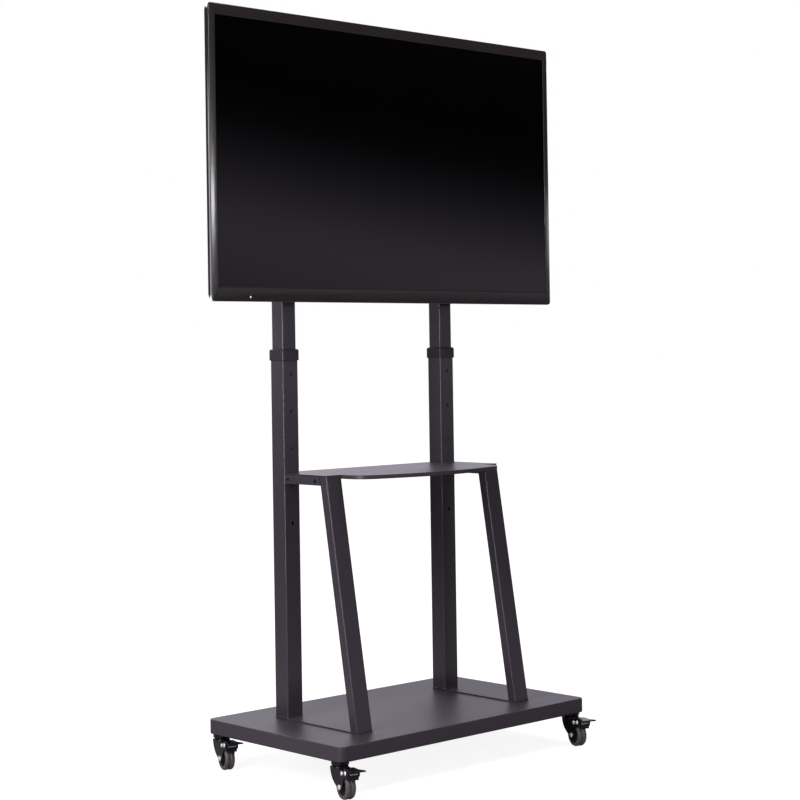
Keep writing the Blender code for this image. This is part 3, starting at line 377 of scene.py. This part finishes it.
low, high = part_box("base_pan")
tray = block("base_tray", low, high)
choose(tray, "EDGE", lambda middle, way: abs(way.z) > 0.9)
bpy.ops.mesh.bevel(offset=BASE_CORNER, segments=12, affect="EDGES")
choose(tray, "EDGE", lambda middle, way: middle.z > high.z - LEVEL and abs(way.z) < 0.1)
bpy.ops.mesh.bevel(offset=BASE_EDGE, segments=4, affect="EDGES")
choose(tray, "EDGE", lambda middle, way: middle.z < low.z + LEVEL and abs(way.z) < 0.1)
bpy.ops.mesh.bevel(offset=BASE_ROLL, segments=5, affect="EDGES")
choose(tray, "FACE", lambda middle, way: way.z < -0.99)
bpy.ops.mesh.delete(type="FACE")
leave()
worked(tray, "SOLIDIFY", thickness=BASE_SHEET, offset=-1, use_even_offset=True)
smooth(tray)
fit(tray, base_coat, "stand", "base_powder_coat", "base_pan")
paint(base_coat, "base_rail_front", "base_rail_back", "base_crossmember_left", "base_crossmember_right")


# The casters: pressed black forks with two bright rivets in each cheek, which turn on a race under the
# base, grey elastomer tyres on black hubs, bright axle bolts, and a flared brake pedal on a leaf spring.
FORK_EDGE = 0.0006
RACE_EDGE = 0.0005
AXLE_EDGE = 0.0004
CHEEK_FACE = 0.0173
TYRE_HALF = 0.013
TYRE_THICKNESS = 0.0085
# The tread's half section: how deep it lies under the radius, and how far out as a share of TYRE_HALF
TREAD = ((0.0042, 1.0), (0.0016, 0.90), (0.0, 0.66), (0.0, 0.36), (0.0009, 0.16), (0.0022, 0.07))
TREAD_STEPS = 96
# The hub's half section: radii of its boss and shares of its rim's radius, with shares of TYRE_HALF
HUB_BOSS = ((0.0043, 1.10), (0.0088, 1.10), (0.0095, 0.55))
HUB_RIM = ((0.80, 0.40), (0.86, 0.90), (1.0, 0.90))
HUB_PLAY = 0.0002
HUB_STEPS = 64
WHEEL_EDGE = 0.0005
# How far the rivets lie behind and under the kingpin's foot
RIVETS = ((0.041, -0.0215), (0.0585, -0.0185))
RIVET_RADIUS = 0.0054
# Shares of the rivet's radius, and heights over the cheek
RIVET_HEAD = (
    (1.0, -0.0003), (1.0, 0.0004), (0.94, 0.0010), (0.80, 0.0016),
    (0.54, 0.0021), (0.25, 0.0024), (0.04, 0.0025),
)
# Low and high corners, from the kingpin
LEAF_SPRING = ((0.0704, -0.0105, -0.0218), (0.0719, 0.0105, -0.0200))
PEDAL_COVER = ((0.0445, -0.0139, -0.0170), (0.0716, 0.0139, -0.0092))
SPRING_EDGE = 0.0002
COVER_EDGE = 0.0008
PEDAL_FLARE = 0.0189
PEDAL_WIDENING = 1.63
PEDAL_THINNING = 0.45


def turned(name, rings, steps, closed=False):
    """A ring drawn out and scaled from station to station, as on a lathe, about the Z axis."""
    bpy.ops.object.select_all(action="DESELECT")
    radius, height = rings[0]
    bpy.ops.mesh.primitive_circle_add(vertices=steps, radius=radius, location=(0, 0, height))
    made = bpy.context.active_object
    made.name = name
    bpy.ops.object.transform_apply(location=True, rotation=True, scale=True)
    bpy.ops.object.mode_set(mode="EDIT")
    bpy.ops.mesh.select_mode(type="EDGE")
    bpy.ops.mesh.select_all(action="SELECT")
    stations = rings[1:] + (rings[:1] if closed else [])
    if not closed:
        bpy.ops.mesh.edge_face_add()
    for wider, further in stations:
        rise = {"value": (0, 0, further - height)}
        bpy.ops.mesh.extrude_region_move(TRANSFORM_OT_translate=rise)
        share = wider / radius
        bpy.ops.transform.resize(value=(share, share, 1), center_override=(0, 0, further))
        radius, height = wider, further
    bpy.ops.mesh.select_all(action="SELECT")
    bpy.ops.mesh.remove_doubles(threshold=1e-6)
    bpy.ops.mesh.normals_make_consistent(inside=False)
    leave()
    return made


def moved(piece, matrix):
    """Carries a mesh to another place, and keeps the object at the origin."""
    piece.data.transform(matrix)
    return piece


def joined(name, *pieces):
    """Makes one mesh of several."""
    hold(*pieces)
    bpy.ops.object.join()
    pieces[0].name = name
    return pieces[0]


def refined(node, name, width=0, segments=2, angle=30):
    """A merged copy of one of the model's nodes, with whole flat faces and, given a width, rounded edges."""
    source = frame["nodes"][node]
    made = bpy.data.objects.new(name, source.data.copy())
    bpy.context.scene.collection.objects.link(made)
    hold(made)
    bpy.ops.object.mode_set(mode="EDIT")
    bpy.ops.mesh.select_all(action="SELECT")
    bpy.ops.mesh.remove_doubles(threshold=2e-5)
    bpy.ops.mesh.dissolve_limited(angle_limit=math.radians(1.0))
    leave()
    if width:
        soften(made, width, segments, angle)
    else:
        smooth(made)
    return made


def caster_black():
    """Black electrophoretic paint on pressed steel, with soft gloss and faint dust."""
    coat = Finish("caster_black", Metallic=0.0, Specular_IOR_Level=0.4, Specular_Tint=(1.0, 0.88, 1.0, 1.0))
    cloud = coat.noise(60, 3, 0.6)
    fine = coat.noise(900, 2, 0.5)
    coat.feed("Base Color", coat.blend(cloud, (0.0030, 0.0022, 0.0032), (0.0075, 0.0056, 0.0080)))
    coat.feed("Roughness", cloud * 0.14 + fine * 0.05 + 0.14)
    coat.feed("Normal", coat.bump(fine, 0.00005, 0.4))
    return coat.material


def bright_plate():
    """Zinc and nickel plate: bright, with fine turning marks and a slight haze."""
    coat = Finish("bright_plate", Metallic=0.55)
    haze = coat.noise(240, 3, 0.6)
    marks = coat.noise(2600, 1, 0.5)
    coat.feed("Base Color", coat.blend(haze, (0.88, 0.88, 0.88), (0.95, 0.95, 0.96)))
    coat.feed("Roughness", haze * 0.14 + 0.24)
    coat.feed("Normal", coat.bump(marks, 0.00002, 0.35))
    return coat.material


def tyre_elastomer():
    """Smoke-grey elastomer, waxy, with a milky depth and scuffs round the tread."""
    coat = Finish("tyre_elastomer", Metallic=0.0, Subsurface_Weight=0.15, Subsurface_Scale=0.002)
    milk = coat.noise(180, 4, 0.6)
    scuff = coat.noise(1400, 2, 0.6)
    coat.feed("Base Color", coat.blend(milk, (0.050, 0.040, 0.047), (0.150, 0.132, 0.140)))
    coat.feed("Roughness", scuff * 0.25 + 0.26)
    coat.feed("Normal", coat.bump(scuff + milk, 0.00006, 0.5))
    return coat.material


def moulded_black():
    """Black nylon, spark-eroded grain, half matt."""
    coat = Finish("moulded_black", Metallic=0.0, Specular_IOR_Level=0.45, Specular_Tint=(1.0, 0.90, 1.0, 1.0))
    grain = coat.noise(2200, 2, 0.5)
    cloud = coat.noise(40, 2, 0.5)
    coat.feed("Base Color", coat.blend(cloud, (0.020, 0.016, 0.021), (0.032, 0.026, 0.034)))
    coat.feed("Roughness", grain * 0.12 + cloud * 0.06 + 0.26)
    coat.feed("Normal", coat.bump(grain, 0.00006, 0.5))
    return coat.material


fork_paint = caster_black()
plate = bright_plate()
elastomer = tyre_elastomer()
nylon = moulded_black()
joints = {joint["name"]: joint for joint in frame["joints"]}

for corner in ("front_left", "front_right", "back_left", "back_right"):
    kingpin = Vector(joints[f"swivel_{corner}"]["pos_m"])
    axle = Vector(joints[f"wheel_{corner}"]["pos_m"])
    trail = Vector((axle.x - kingpin.x, axle.y - kingpin.y, 0)).normalized()
    # The caster's own X trails, its Y is the axle and its Z is up
    seat = Matrix((trail, Vector((0, 0, 1)).cross(trail), Vector((0, 0, 1)))).transposed().to_4x4()
    at_kingpin = Matrix.Translation(kingpin) @ seat
    at_axle = Matrix.Translation(axle) @ seat @ Matrix.Rotation(math.radians(90), 4, "X")

    stem = refined(f"caster_stem_{corner}", f"caster_race_{corner}", RACE_EDGE)
    fit(stem, fork_paint, "stand", "caster_black", f"caster_stem_{corner}")
    fork = refined(f"caster_fork_{corner}", f"fork_{corner}", FORK_EDGE)
    fit(fork, fork_paint, f"swivel_{corner}", "caster_black", f"caster_fork_{corner}")
    pedal = refined(f"brake_pedal_{corner}", f"pedal_{corner}", FORK_EDGE)
    fit(pedal, fork_paint, f"pedal_{corner}", "caster_black", f"brake_pedal_{corner}")
    bolt = refined(f"axle_bolt_{corner}", f"axle_{corner}", AXLE_EDGE)
    fit(bolt, plate, f"swivel_{corner}", "zinc_steel", f"axle_bolt_{corner}")

    low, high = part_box(f"tyre_{corner}")
    radius = (high.z - low.z) / 2
    bore = radius - TYRE_THICKNESS
    rings = [(bore, -TYRE_HALF)] + [(radius - sunk, -TYRE_HALF * out) for sunk, out in TREAD]
    rings += [(wide, -out) for wide, out in rings[::-1]]
    tyre = turned(f"tread_{corner}", rings, TREAD_STEPS, closed=True)
    soften(tyre, WHEEL_EDGE, segments=2, angle=20)
    moved(tyre, at_axle)
    fit(tyre, elastomer, f"wheel_{corner}", "tyre_grey", f"tyre_{corner}")
    rings = [(wide, -TYRE_HALF * out) for wide, out in HUB_BOSS]
    rings += [((bore - HUB_PLAY) * share, -TYRE_HALF * out) for share, out in HUB_RIM]
    rings += [(wide, -out) for wide, out in rings[::-1]]
    hub = turned(f"hub_{corner}", rings, HUB_STEPS, closed=True)
    soften(hub, WHEEL_EDGE, segments=2, angle=20)
    moved(hub, at_axle)
    fit(hub, nylon, f"wheel_{corner}", "black_plastic", f"wheel_hub_{corner}")

    for cheek, side in (("a", -1), ("b", 1)):
        for number, (out, up) in enumerate(RIVETS):
            rings = [(share * RIVET_RADIUS, rise) for share, rise in RIVET_HEAD]
            rivet = turned(f"rivet_{cheek}{number}_{corner}", rings, steps=24)
            smooth(rivet, angle=60)
            place = Matrix.Translation((out, side * CHEEK_FACE, up))
            moved(rivet, at_kingpin @ place @ Matrix.Rotation(math.radians(-90 * side), 4, "X"))
            fit(rivet, plate, f"swivel_{corner}", "zinc_steel")
    spring = block(f"leaf_spring_{corner}", *LEAF_SPRING)
    soften(spring, SPRING_EDGE, segments=2)
    moved(spring, at_kingpin)
    fit(spring, plate, f"pedal_{corner}", "zinc_steel")
    cover = block(f"pedal_cover_{corner}", *PEDAL_COVER)
    choose(cover, "FACE", lambda middle, way: way.x > 0.9)
    bpy.ops.mesh.extrude_region_move(TRANSFORM_OT_translate={"value": (PEDAL_FLARE, 0, 0)})
    tip = (PEDAL_COVER[1][0] + PEDAL_FLARE, 0, PEDAL_COVER[1][2])
    bpy.ops.transform.resize(value=(1, PEDAL_WIDENING, PEDAL_THINNING), center_override=tip)
    leave()
    soften(cover, COVER_EDGE)
    moved(cover, at_kingpin)
    fit(cover, fork_paint, f"pedal_{corner}", "caster_black")


# The side frames: 52 mm square steel tubes, each with five round adjusting holes in front, a slanted
# front leg, an arm between them and a foot strip on the base, welded and powder coated together.
TUBE_CORNER = 0.004
POST_WALL = 0.0025
WELD = 0.0014
STRIP_EDGE = 0.0006
SHELF_BOLT_EDGE = 0.0003
LOCK_BOLT_EDGE = 0.0004
HOLE_COUNT = 5
HOLE_PITCH = 0.098
HOLE_RADIUS = 0.0045
BOLT_HOLE_RADIUS = 0.0043
DRILL_REACH = 0.01
tube_coat = powder_coat("tube_powder_coat", (0.029, 0.0235, 0.031), (0.045, 0.037, 0.048), 0.13, 0.8)


def tube_wall(name, low, high, wall):
    """A square tube: a block with round corners, its ends taken out and its wall given a thickness."""
    made = block(name, low, high)
    choose(made, "EDGE", lambda middle, way: abs(way.z) > 0.9)
    bpy.ops.mesh.bevel(offset=TUBE_CORNER, segments=5, affect="EDGES")
    choose(made, "FACE", lambda middle, way: abs(way.z) > 0.9)
    bpy.ops.mesh.delete(type="FACE")
    leave()
    worked(made, "SOLIDIFY", thickness=wall, offset=-1, use_even_offset=True)
    return made


def pierced(piece, *cutters):
    """Cuts holes right through, then clears the tools away."""
    tool = joined("cutter", *cutters) if len(cutters) > 1 else cutters[0]
    worked(piece, "BOOLEAN", object=tool, operation="DIFFERENCE", solver="EXACT")
    bpy.data.objects.remove(tool, do_unlink=True)


def weld(name, low, high):
    """A ground fillet weld round a tube's foot: a thin loop with a round section."""
    bpy.ops.object.select_all(action="DESELECT")
    middle = [(a + b) / 2 for a, b in zip(low, high)]
    bpy.ops.mesh.primitive_plane_add(size=1, location=middle)
    made = bpy.context.active_object
    made.name = name
    made.scale = (high[0] - low[0], high[1] - low[1], 1)
    bpy.ops.object.transform_apply(location=True, rotation=True, scale=True)
    bpy.ops.object.mode_set(mode="EDIT")
    bpy.ops.mesh.select_mode(type="VERT")
    bpy.ops.mesh.select_all(action="SELECT")
    bpy.ops.mesh.bevel(offset=TUBE_CORNER, segments=4, affect="VERTICES")
    bpy.ops.mesh.delete(type="ONLY_FACE")
    bpy.ops.mesh.select_all(action="SELECT")
    bpy.ops.mesh.subdivide(number_cuts=3)
    leave()
    bpy.ops.object.convert(target="CURVE")
    made.data.bevel_depth = WELD
    made.data.bevel_resolution = 3
    bpy.ops.object.convert(target="MESH")
    smooth(made, angle=60)
    return made


for side in ("left", "right"):
    low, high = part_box(f"outer_post_{side}")
    bead = weld(f"post_weld_{side}", (low.x, low.y, low.z), (high.x, high.y, low.z))
    fit(bead, tube_coat, "stand", "tube_powder_coat")
    post = tube_wall(f"post_{side}", low, high, POST_WALL)
    post_x = (low.x + high.x) / 2
    bolt_low, bolt_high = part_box(f"lock_bolt_{side}")
    top_hole = (bolt_low.z + bolt_high.z) / 2
    # The adjusting holes in front, and the lock bolt's hole behind
    holes = [(HOLE_RADIUS, (post_x, low.y, top_hole - HOLE_PITCH * number)) for number in range(HOLE_COUNT)]
    holes.append((BOLT_HOLE_RADIUS, (post_x, high.y, top_hole)))
    drills = []
    for radius, place in holes:
        drill = turned("drill", [(radius, -DRILL_REACH), (radius, DRILL_REACH)], steps=32)
        drills.append(moved(drill, Matrix.Translation(place) @ Matrix.Rotation(math.radians(90), 4, "X")))
    pierced(post, *drills)
    smooth(post, angle=30)
    fit(post, tube_coat, "stand", "tube_powder_coat", f"outer_post_{side}")

    strip = refined(f"foot_strip_{side}", f"foot_plate_{side}", STRIP_EDGE)
    fit(strip, base_coat, "stand", "tube_powder_coat", f"foot_strip_{side}")
    leg = refined(f"front_leg_{side}", f"leg_{side}")
    fit(leg, tube_coat, "stand", "tube_powder_coat", f"front_leg_{side}")
    arm = refined(f"shelf_arm_{side}", f"arm_{side}")
    fit(arm, tube_coat, "stand", "tube_powder_coat", f"shelf_arm_{side}")
    for row in ("front", "back"):
        bolt = refined(f"shelf_bolt_{row}_{side}", f"shelf_screw_{row}_{side}", SHELF_BOLT_EDGE)
        fit(bolt, fork_paint, "stand", "caster_black", f"shelf_bolt_{row}_{side}")
    bolt = refined(f"lock_bolt_{side}", f"lock_screw_{side}", LOCK_BOLT_EDGE)
    fit(bolt, plate, "stand", "zinc_steel", f"lock_bolt_{side}")


# The shelf: one piece of 2 mm sheet that lies on the arms, with a bowed nose, a turned-down lip
# along its front, and flanges down inside the arms, in the same colour with a duller powder coat.
SHELF_EDGE = 0.0008
shelf_coat = powder_coat("shelf_powder_coat", (0.030, 0.024, 0.031), (0.046, 0.038, 0.048), 0.26, 0.5)
shelf = refined("shelf", "shelf_sheet", SHELF_EDGE, segments=3, angle=40)
fit(shelf, shelf_coat, "stand", "tube_powder_coat", "shelf")


# The collars: black nylon sleeves pressed over the tops of the posts, which guide the inner posts.
# The inner posts are 46 mm square tube with a plug in the top, and carry the two folded cross rails.
COLLAR_EDGE = 0.0006
PLUG_EDGE = 0.0005
RAIL_EDGE = 0.0008
INNER_WALL = 0.002
RAIL_SLOT_LENGTH = 0.034
RAIL_SLOT_WIDTH = 0.0085
RAIL_SLOT_UP = 0.020
RAIL_SLOT_BACK = 0.0015
RAIL_SLOTS = (-0.125, -0.075, -0.025, 0.025, 0.075, 0.125)
CUTTER_REACH = 0.012
SLOT_ROUND = 0.499

for side in ("left", "right"):
    collar = refined(f"collar_{side}", f"guide_sleeve_{side}", COLLAR_EDGE, segments=3)
    fit(collar, nylon, "stand", "black_plastic", f"collar_{side}")
    low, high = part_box(f"inner_post_{side}")
    post = tube_wall(f"mast_post_{side}", low, high, INNER_WALL)
    smooth(post, angle=30)
    fit(post, tube_coat, "mast", "tube_powder_coat", f"inner_post_{side}")
    cap = refined(f"post_cap_{side}", f"tube_plug_{side}", PLUG_EDGE)
    fit(cap, nylon, "mast", "black_plastic", f"post_cap_{side}")


def slot_cutter(middle, length, width, along="X"):
    """A rounded slot's tool, run through along Y."""
    bar = block("drill", (-length / 2, -CUTTER_REACH, -width / 2), (length / 2, CUTTER_REACH, width / 2))
    choose(bar, "EDGE", lambda middle, way: abs(way.y) > 0.9)
    bpy.ops.mesh.bevel(offset=width * SLOT_ROUND, segments=6, affect="EDGES")
    leave()
    if along == "Z":
        moved(bar, Matrix.Rotation(math.radians(90), 4, "Y"))
    return moved(bar, Matrix.Translation(middle))


for level in ("lower", "upper"):
    rail = refined(f"cross_rail_{level}", f"hook_rail_{level}", RAIL_EDGE, segments=3, angle=40)
    low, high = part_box(f"cross_rail_{level}")
    cutters = []
    for x in RAIL_SLOTS:
        place = (x, high.y - RAIL_SLOT_BACK, low.z + RAIL_SLOT_UP)
        cutters.append(slot_cutter(place, RAIL_SLOT_LENGTH, RAIL_SLOT_WIDTH))
    pierced(rail, *cutters)
    smooth(rail)
    fit(rail, tube_coat, "mast", "tube_powder_coat", f"cross_rail_{level}")


# The display: a satin black plastic bezel round a black screen, a clear edge band behind it, and a
# moulded rear cover. It hangs from the cross rails by two folded steel arms with hooks.
BEZEL_EDGE = 0.0005
LENS_EDGE = 0.0004
BAND_EDGE = 0.0006
# Where the band's painted highlight, painted light and painted shade change: inward from its sides, inward
# from its top and foot, down from its top and, as shares of its depth, from its front to its back
BAND_HIGHLIGHT_SIDES = (0.010, 0.004)
BAND_HIGHLIGHT_ENDS = (0.016, 0.006)
BAND_PAINTED_LIGHT_BELOW = (0.14, 0.30)
BAND_PAINTED_LIGHT_DEPTH = (0.60, 0.45)
# Painted shade and painted light in the band's colour
BAND_PAINTED_SHADE = (0.005, 0.0045, 0.005)
BAND_PAINTED_LIGHT = (0.210, 0.200, 0.214)
# A painted white highlight for the band's corners
BAND_PAINTED_HIGHLIGHT = (0.9, 0.9, 0.9, 1)


def satin_bezel():
    """Satin black plastic with fine lines along its length and a thin gloss over them."""
    coat = Finish("satin_bezel", Metallic=0.0, Specular_IOR_Level=0.35, Coat_Weight=0.3, Coat_Roughness=0.12)
    brush = coat.node("ShaderNodeMapping", inputs={"Vector": coat.place, "Scale": (14, 600, 600)})
    fine = coat.node("ShaderNodeTexNoise", inputs={"Vector": brush, "Scale": 1.0, "Detail": 3.0})
    cloud = coat.noise(9, 3, 0.5)
    tone = coat.blend(cloud * 0.5 + fine * 0.5, (0.0155, 0.0120, 0.0132), (0.0260, 0.0208, 0.0228))
    coat.feed("Base Color", tone)
    coat.feed("Roughness", fine * 0.06 + cloud * 0.04 + 0.11)
    coat.feed("Normal", coat.bump(fine, 0.00003, 0.4))
    return coat.material


def screen_black():
    """The screen, switched off: deep black under a film that mirrors softly."""
    coat = Finish("screen_black", Metallic=0.0, Specular_IOR_Level=0.5, Specular_Tint=(1.0, 0.92, 1.0, 1.0))
    haze = coat.noise(700, 2, 0.5)
    slow = coat.noise(4, 2, 0.5)
    coat.feed("Base Color", coat.blend(slow, (0.0002, 0.0002, 0.0002), (0.0005, 0.0005, 0.0005)))
    coat.feed("Roughness", haze * 0.02 + slow * 0.02 + 0.05)
    coat.feed("Normal", coat.bump(haze, 0.00001, 0.15))
    return coat.material


def edge_acrylic():
    """The band's acrylic, with light painted into its colour: painted light in its lower part behind the
    bezel, painted shade near its top and where it meets the cover, and a painted white highlight at its
    corners."""
    coat = Finish("edge_acrylic", Metallic=0.0, Specular_IOR_Level=0.25)
    cloud = coat.noise(30, 2, 0.5)
    low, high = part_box("display_edge_band")
    # Masks for the painted white highlight at the band's four corners
    side = coat.node("ShaderNodeMath", {"operation": "ABSOLUTE"}, {0: coat.part(coat.place, "X")})
    side = coat.fade(side, *(high.x - inward for inward in BAND_HIGHLIGHT_SIDES))
    up = coat.part(coat.place, "Z")
    top = coat.fade(up, *(high.z - inward for inward in BAND_HIGHLIGHT_ENDS))
    foot = coat.fade(up, *(low.z + inward for inward in BAND_HIGHLIGHT_ENDS))
    # Painted light in the band's lower part and towards its front, painted shade near its top and towards the
    # cover at its back; glow and lit carry these painted masks
    glow = coat.fade(up, *(high.z - down for down in BAND_PAINTED_LIGHT_BELOW))
    back = coat.part(coat.place, "Y")
    lit = coat.fade(back, *(low.y + share * (high.y - low.y) for share in BAND_PAINTED_LIGHT_DEPTH))
    tone = coat.blend(glow * lit * 0.95 + cloud * 0.05, BAND_PAINTED_SHADE, BAND_PAINTED_LIGHT)
    # clear lays the painted white highlight over the corners
    clear = coat.mix(side * (top + foot), tone, BAND_PAINTED_HIGHLIGHT)
    coat.feed("Base Color", clear)
    coat.feed("Roughness", cloud * 0.08 + 0.10)
    return coat.material


def lamp_lens():
    """The status light's lens: milky white plastic, unlit, half gloss."""
    coat = Finish("lamp_lens", Metallic=0.0)
    milk = coat.noise(900, 2, 0.5)
    coat.feed("Base Color", coat.blend(milk, (0.72, 0.71, 0.72), (0.88, 0.87, 0.88)))
    coat.feed("Roughness", milk * 0.10 + 0.25)
    return coat.material


bezel_finish = satin_bezel()
screen_finish = screen_black()
lens_finish = lamp_lens()
band_finish = edge_acrylic()

bezel = refined("display_bezel", "bezel", BEZEL_EDGE, angle=40)
fit(bezel, bezel_finish, "display", "bezel_plastic", "display_bezel")
paint(screen_finish, "screen_panel")
lamp = refined("status_light", "status_lens", LENS_EDGE)
fit(lamp, lens_finish, "display", "lamp_window", "status_light")
band = refined("display_edge_band", "edge_band", BAND_EDGE, segments=3, angle=50)
fit(band, band_finish, "display", "clear_edge", "display_edge_band")
paint(plate, "display_chassis")


# The rear cover: one moulding in grained black plastic, with two rows of air slots over its raised
# middle, sound slots along its foot, a bay for the sockets, and an inlet for the cord.
BACK_EDGE = 0.0012
VENT_COUNT = 56
VENT_PITCH = 0.0105
VENT_LENGTH = 0.020
VENT_WIDTH = 0.0035
VENT_ROWS = (0.150, 0.182)
SOUND_COUNT = 18
SOUND_START = 0.20
SOUND_UP = 0.045
SOUND_BACK = 0.0235
WINDOW_REACH = 0.004
BAY_X = 0.330
BAY_DROP = 0.080
BAY_WIDTH = 0.150
BAY_HEIGHT = 0.048
BAY_DEPTH = 0.012
BAY_SUNK = 0.0030
BAY_WALL = 0.0015
SOCKET_COUNT = 5
SOCKET_PITCH = 0.028
SOCKET_WIDTH = 0.017
SOCKET_HEIGHT = 0.008
SOCKET_DEPTH = 0.004
SOCKET_SINK = 0.0005
SOCKET_EDGE = 0.0002
SOCKET_LIP = 0.0009
SOCKET_HOLLOW = 0.0035
INLET_X = -0.330
INLET_WIDTH = 0.048
INLET_HEIGHT = 0.032
PIN_PITCH = 0.009
PIN_SINK = 0.0003
PIN = [(0.0012, 0.0), (0.0012, 0.007), (0.0007, 0.0078)]


def moulded_back():
    """The rear cover's plastic: coarse spark-eroded grain with dull gloss."""
    coat = Finish("moulded_back", Metallic=0.0, Specular_IOR_Level=0.12)
    grain = coat.noise(1100, 3, 0.6)
    cloud = coat.noise(12, 2, 0.5)
    coat.feed("Base Color", coat.blend(cloud, (0.0050, 0.0046, 0.0050), (0.0090, 0.0083, 0.0090)))
    coat.feed("Roughness", grain * 0.14 + cloud * 0.05 + 0.44)
    coat.feed("Normal", coat.bump(grain, 0.00015, 0.6))
    return coat.material


def window(x, width, height):
    """Two opposite corners of an opening in the cover's back face."""
    low_corner = (x - width / 2, face - WINDOW_REACH, bay_z - height / 2)
    high_corner = (x + width / 2, face + WINDOW_REACH, bay_z + height / 2)
    return low_corner, high_corner


def tray_behind(name, corners):
    """A bay: a block whose open face is inset and pushed in, let into a window of the cover."""
    (left, _, bottom), (right, _, top) = corners
    made = block(
        name,
        (left - BAY_WALL, face - BAY_DEPTH, bottom - BAY_WALL),
        (right + BAY_WALL, face - BAY_SUNK, top + BAY_WALL),
    )
    choose(made, "FACE", lambda middle, way: way.y > 0.9)
    bpy.ops.mesh.inset(thickness=BAY_WALL, depth=0)
    bpy.ops.mesh.inset(thickness=0, depth=-(BAY_DEPTH - BAY_SUNK - BAY_WALL))
    bpy.ops.mesh.select_all(action="SELECT")
    bpy.ops.mesh.normals_make_consistent(inside=False)
    leave()
    smooth(made)
    return made


back_finish = moulded_back()
low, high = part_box("display_rear_cover")
face = high.y
middle_z = (low.z + high.z) / 2
bay_z = middle_z - BAY_DROP
bay_floor = face - BAY_DEPTH + BAY_WALL
bay_corners = window(BAY_X, BAY_WIDTH, BAY_HEIGHT)
inlet_corners = window(INLET_X, INLET_WIDTH, INLET_HEIGHT)

cover = refined("display_rear_cover", "rear_cover", BACK_EDGE, angle=12)
cutters = []
first = -VENT_PITCH * (VENT_COUNT - 1) / 2
for down in VENT_ROWS:
    for number in range(VENT_COUNT):
        place = (first + VENT_PITCH * number, face, high.z - down)
        cutters.append(slot_cutter(place, VENT_LENGTH, VENT_WIDTH, "Z"))
for side in (-1, 1):
    for number in range(SOUND_COUNT):
        place = (side * (SOUND_START + VENT_PITCH * number), low.y + SOUND_BACK, low.z + SOUND_UP)
        cutters.append(slot_cutter(place, VENT_LENGTH, VENT_WIDTH, "Z"))
cutters.append(block("drill", *bay_corners))
cutters.append(block("drill", *inlet_corners))
pierced(cover, *cutters)
smooth(cover)
fit(cover, back_finish, "display", "bezel_plastic", "display_rear_cover")

bay = tray_behind("socket_bay", bay_corners)
fit(bay, back_finish, "display", "bezel_plastic")
for number in range(SOCKET_COUNT):
    x = BAY_X + SOCKET_PITCH * (number - (SOCKET_COUNT - 1) / 2)
    socket = block(
        f"socket_{number}",
        (x - SOCKET_WIDTH / 2, bay_floor - SOCKET_SINK, bay_z - SOCKET_HEIGHT / 2),
        (x + SOCKET_WIDTH / 2, bay_floor + SOCKET_DEPTH, bay_z + SOCKET_HEIGHT / 2),
    )
    choose(socket, "FACE", lambda middle, way: way.y > 0.9)
    bpy.ops.mesh.inset(thickness=SOCKET_LIP, depth=0)
    bpy.ops.mesh.inset(thickness=0, depth=-SOCKET_HOLLOW)
    leave()
    soften(socket, SOCKET_EDGE, segments=2)
    fit(socket, plate, "display", "bezel_plastic")

inlet = tray_behind("power_inlet", inlet_corners)
fit(inlet, nylon, "display", "bezel_plastic")
for number, side in enumerate((-1, 1)):
    pin = turned(f"inlet_pin_{number}", PIN, steps=16)
    place = Matrix.Translation((INLET_X + side * PIN_PITCH / 2, bay_floor - PIN_SINK, bay_z))
    moved(pin, place @ Matrix.Rotation(math.radians(-90), 4, "X"))
    fit(pin, plate, "display", "bezel_plastic")


# The bracket arms: folded channels of 2.5 mm steel, held to the display's back by a screw at the top and
# one at the foot, with a row of slots between, and hooks that drop behind the cross rails' lips.
ARM_EDGE = 0.0006
ARM_SLOTS = (-0.15, -0.10, -0.05, 0.0, 0.05, 0.10, 0.15)
SCREW_SPACING = 0.400
SCREW_SEAT = 0.0026
SCREW = [
    (0.0095, 0.0), (0.0095, 0.0012), (0.0065, 0.0013), (0.0065, 0.0032),
    (0.0050, 0.0045), (0.0022, 0.0048), (0.0020, 0.0022), (0.0004, 0.0020),
]

for side in ("left", "right"):
    arm = refined(f"bracket_arm_{side}", f"hook_arm_{side}", ARM_EDGE, angle=40)
    low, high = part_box(f"bracket_arm_{side}")
    arm_x = (low.x + high.x) / 2
    cutters = []
    for step in ARM_SLOTS:
        cutters.append(slot_cutter((arm_x, low.y, middle_z + step), RAIL_SLOT_LENGTH, RAIL_SLOT_WIDTH, "Z"))
    pierced(arm, *cutters)
    smooth(arm)
    fit(arm, tube_coat, "display", "tube_powder_coat", f"bracket_arm_{side}")
    for row, up in (("top", 1), ("foot", -1)):
        screw = turned(f"mount_screw_{row}_{side}", SCREW, steps=32)
        place = Matrix.Translation((arm_x, low.y + SCREW_SEAT, middle_z + up * SCREW_SPACING / 2))
        moved(screw, place @ Matrix.Rotation(math.radians(-90), 4, "X"))
        smooth(screw)
        fit(screw, plate, "display", "zinc_steel")
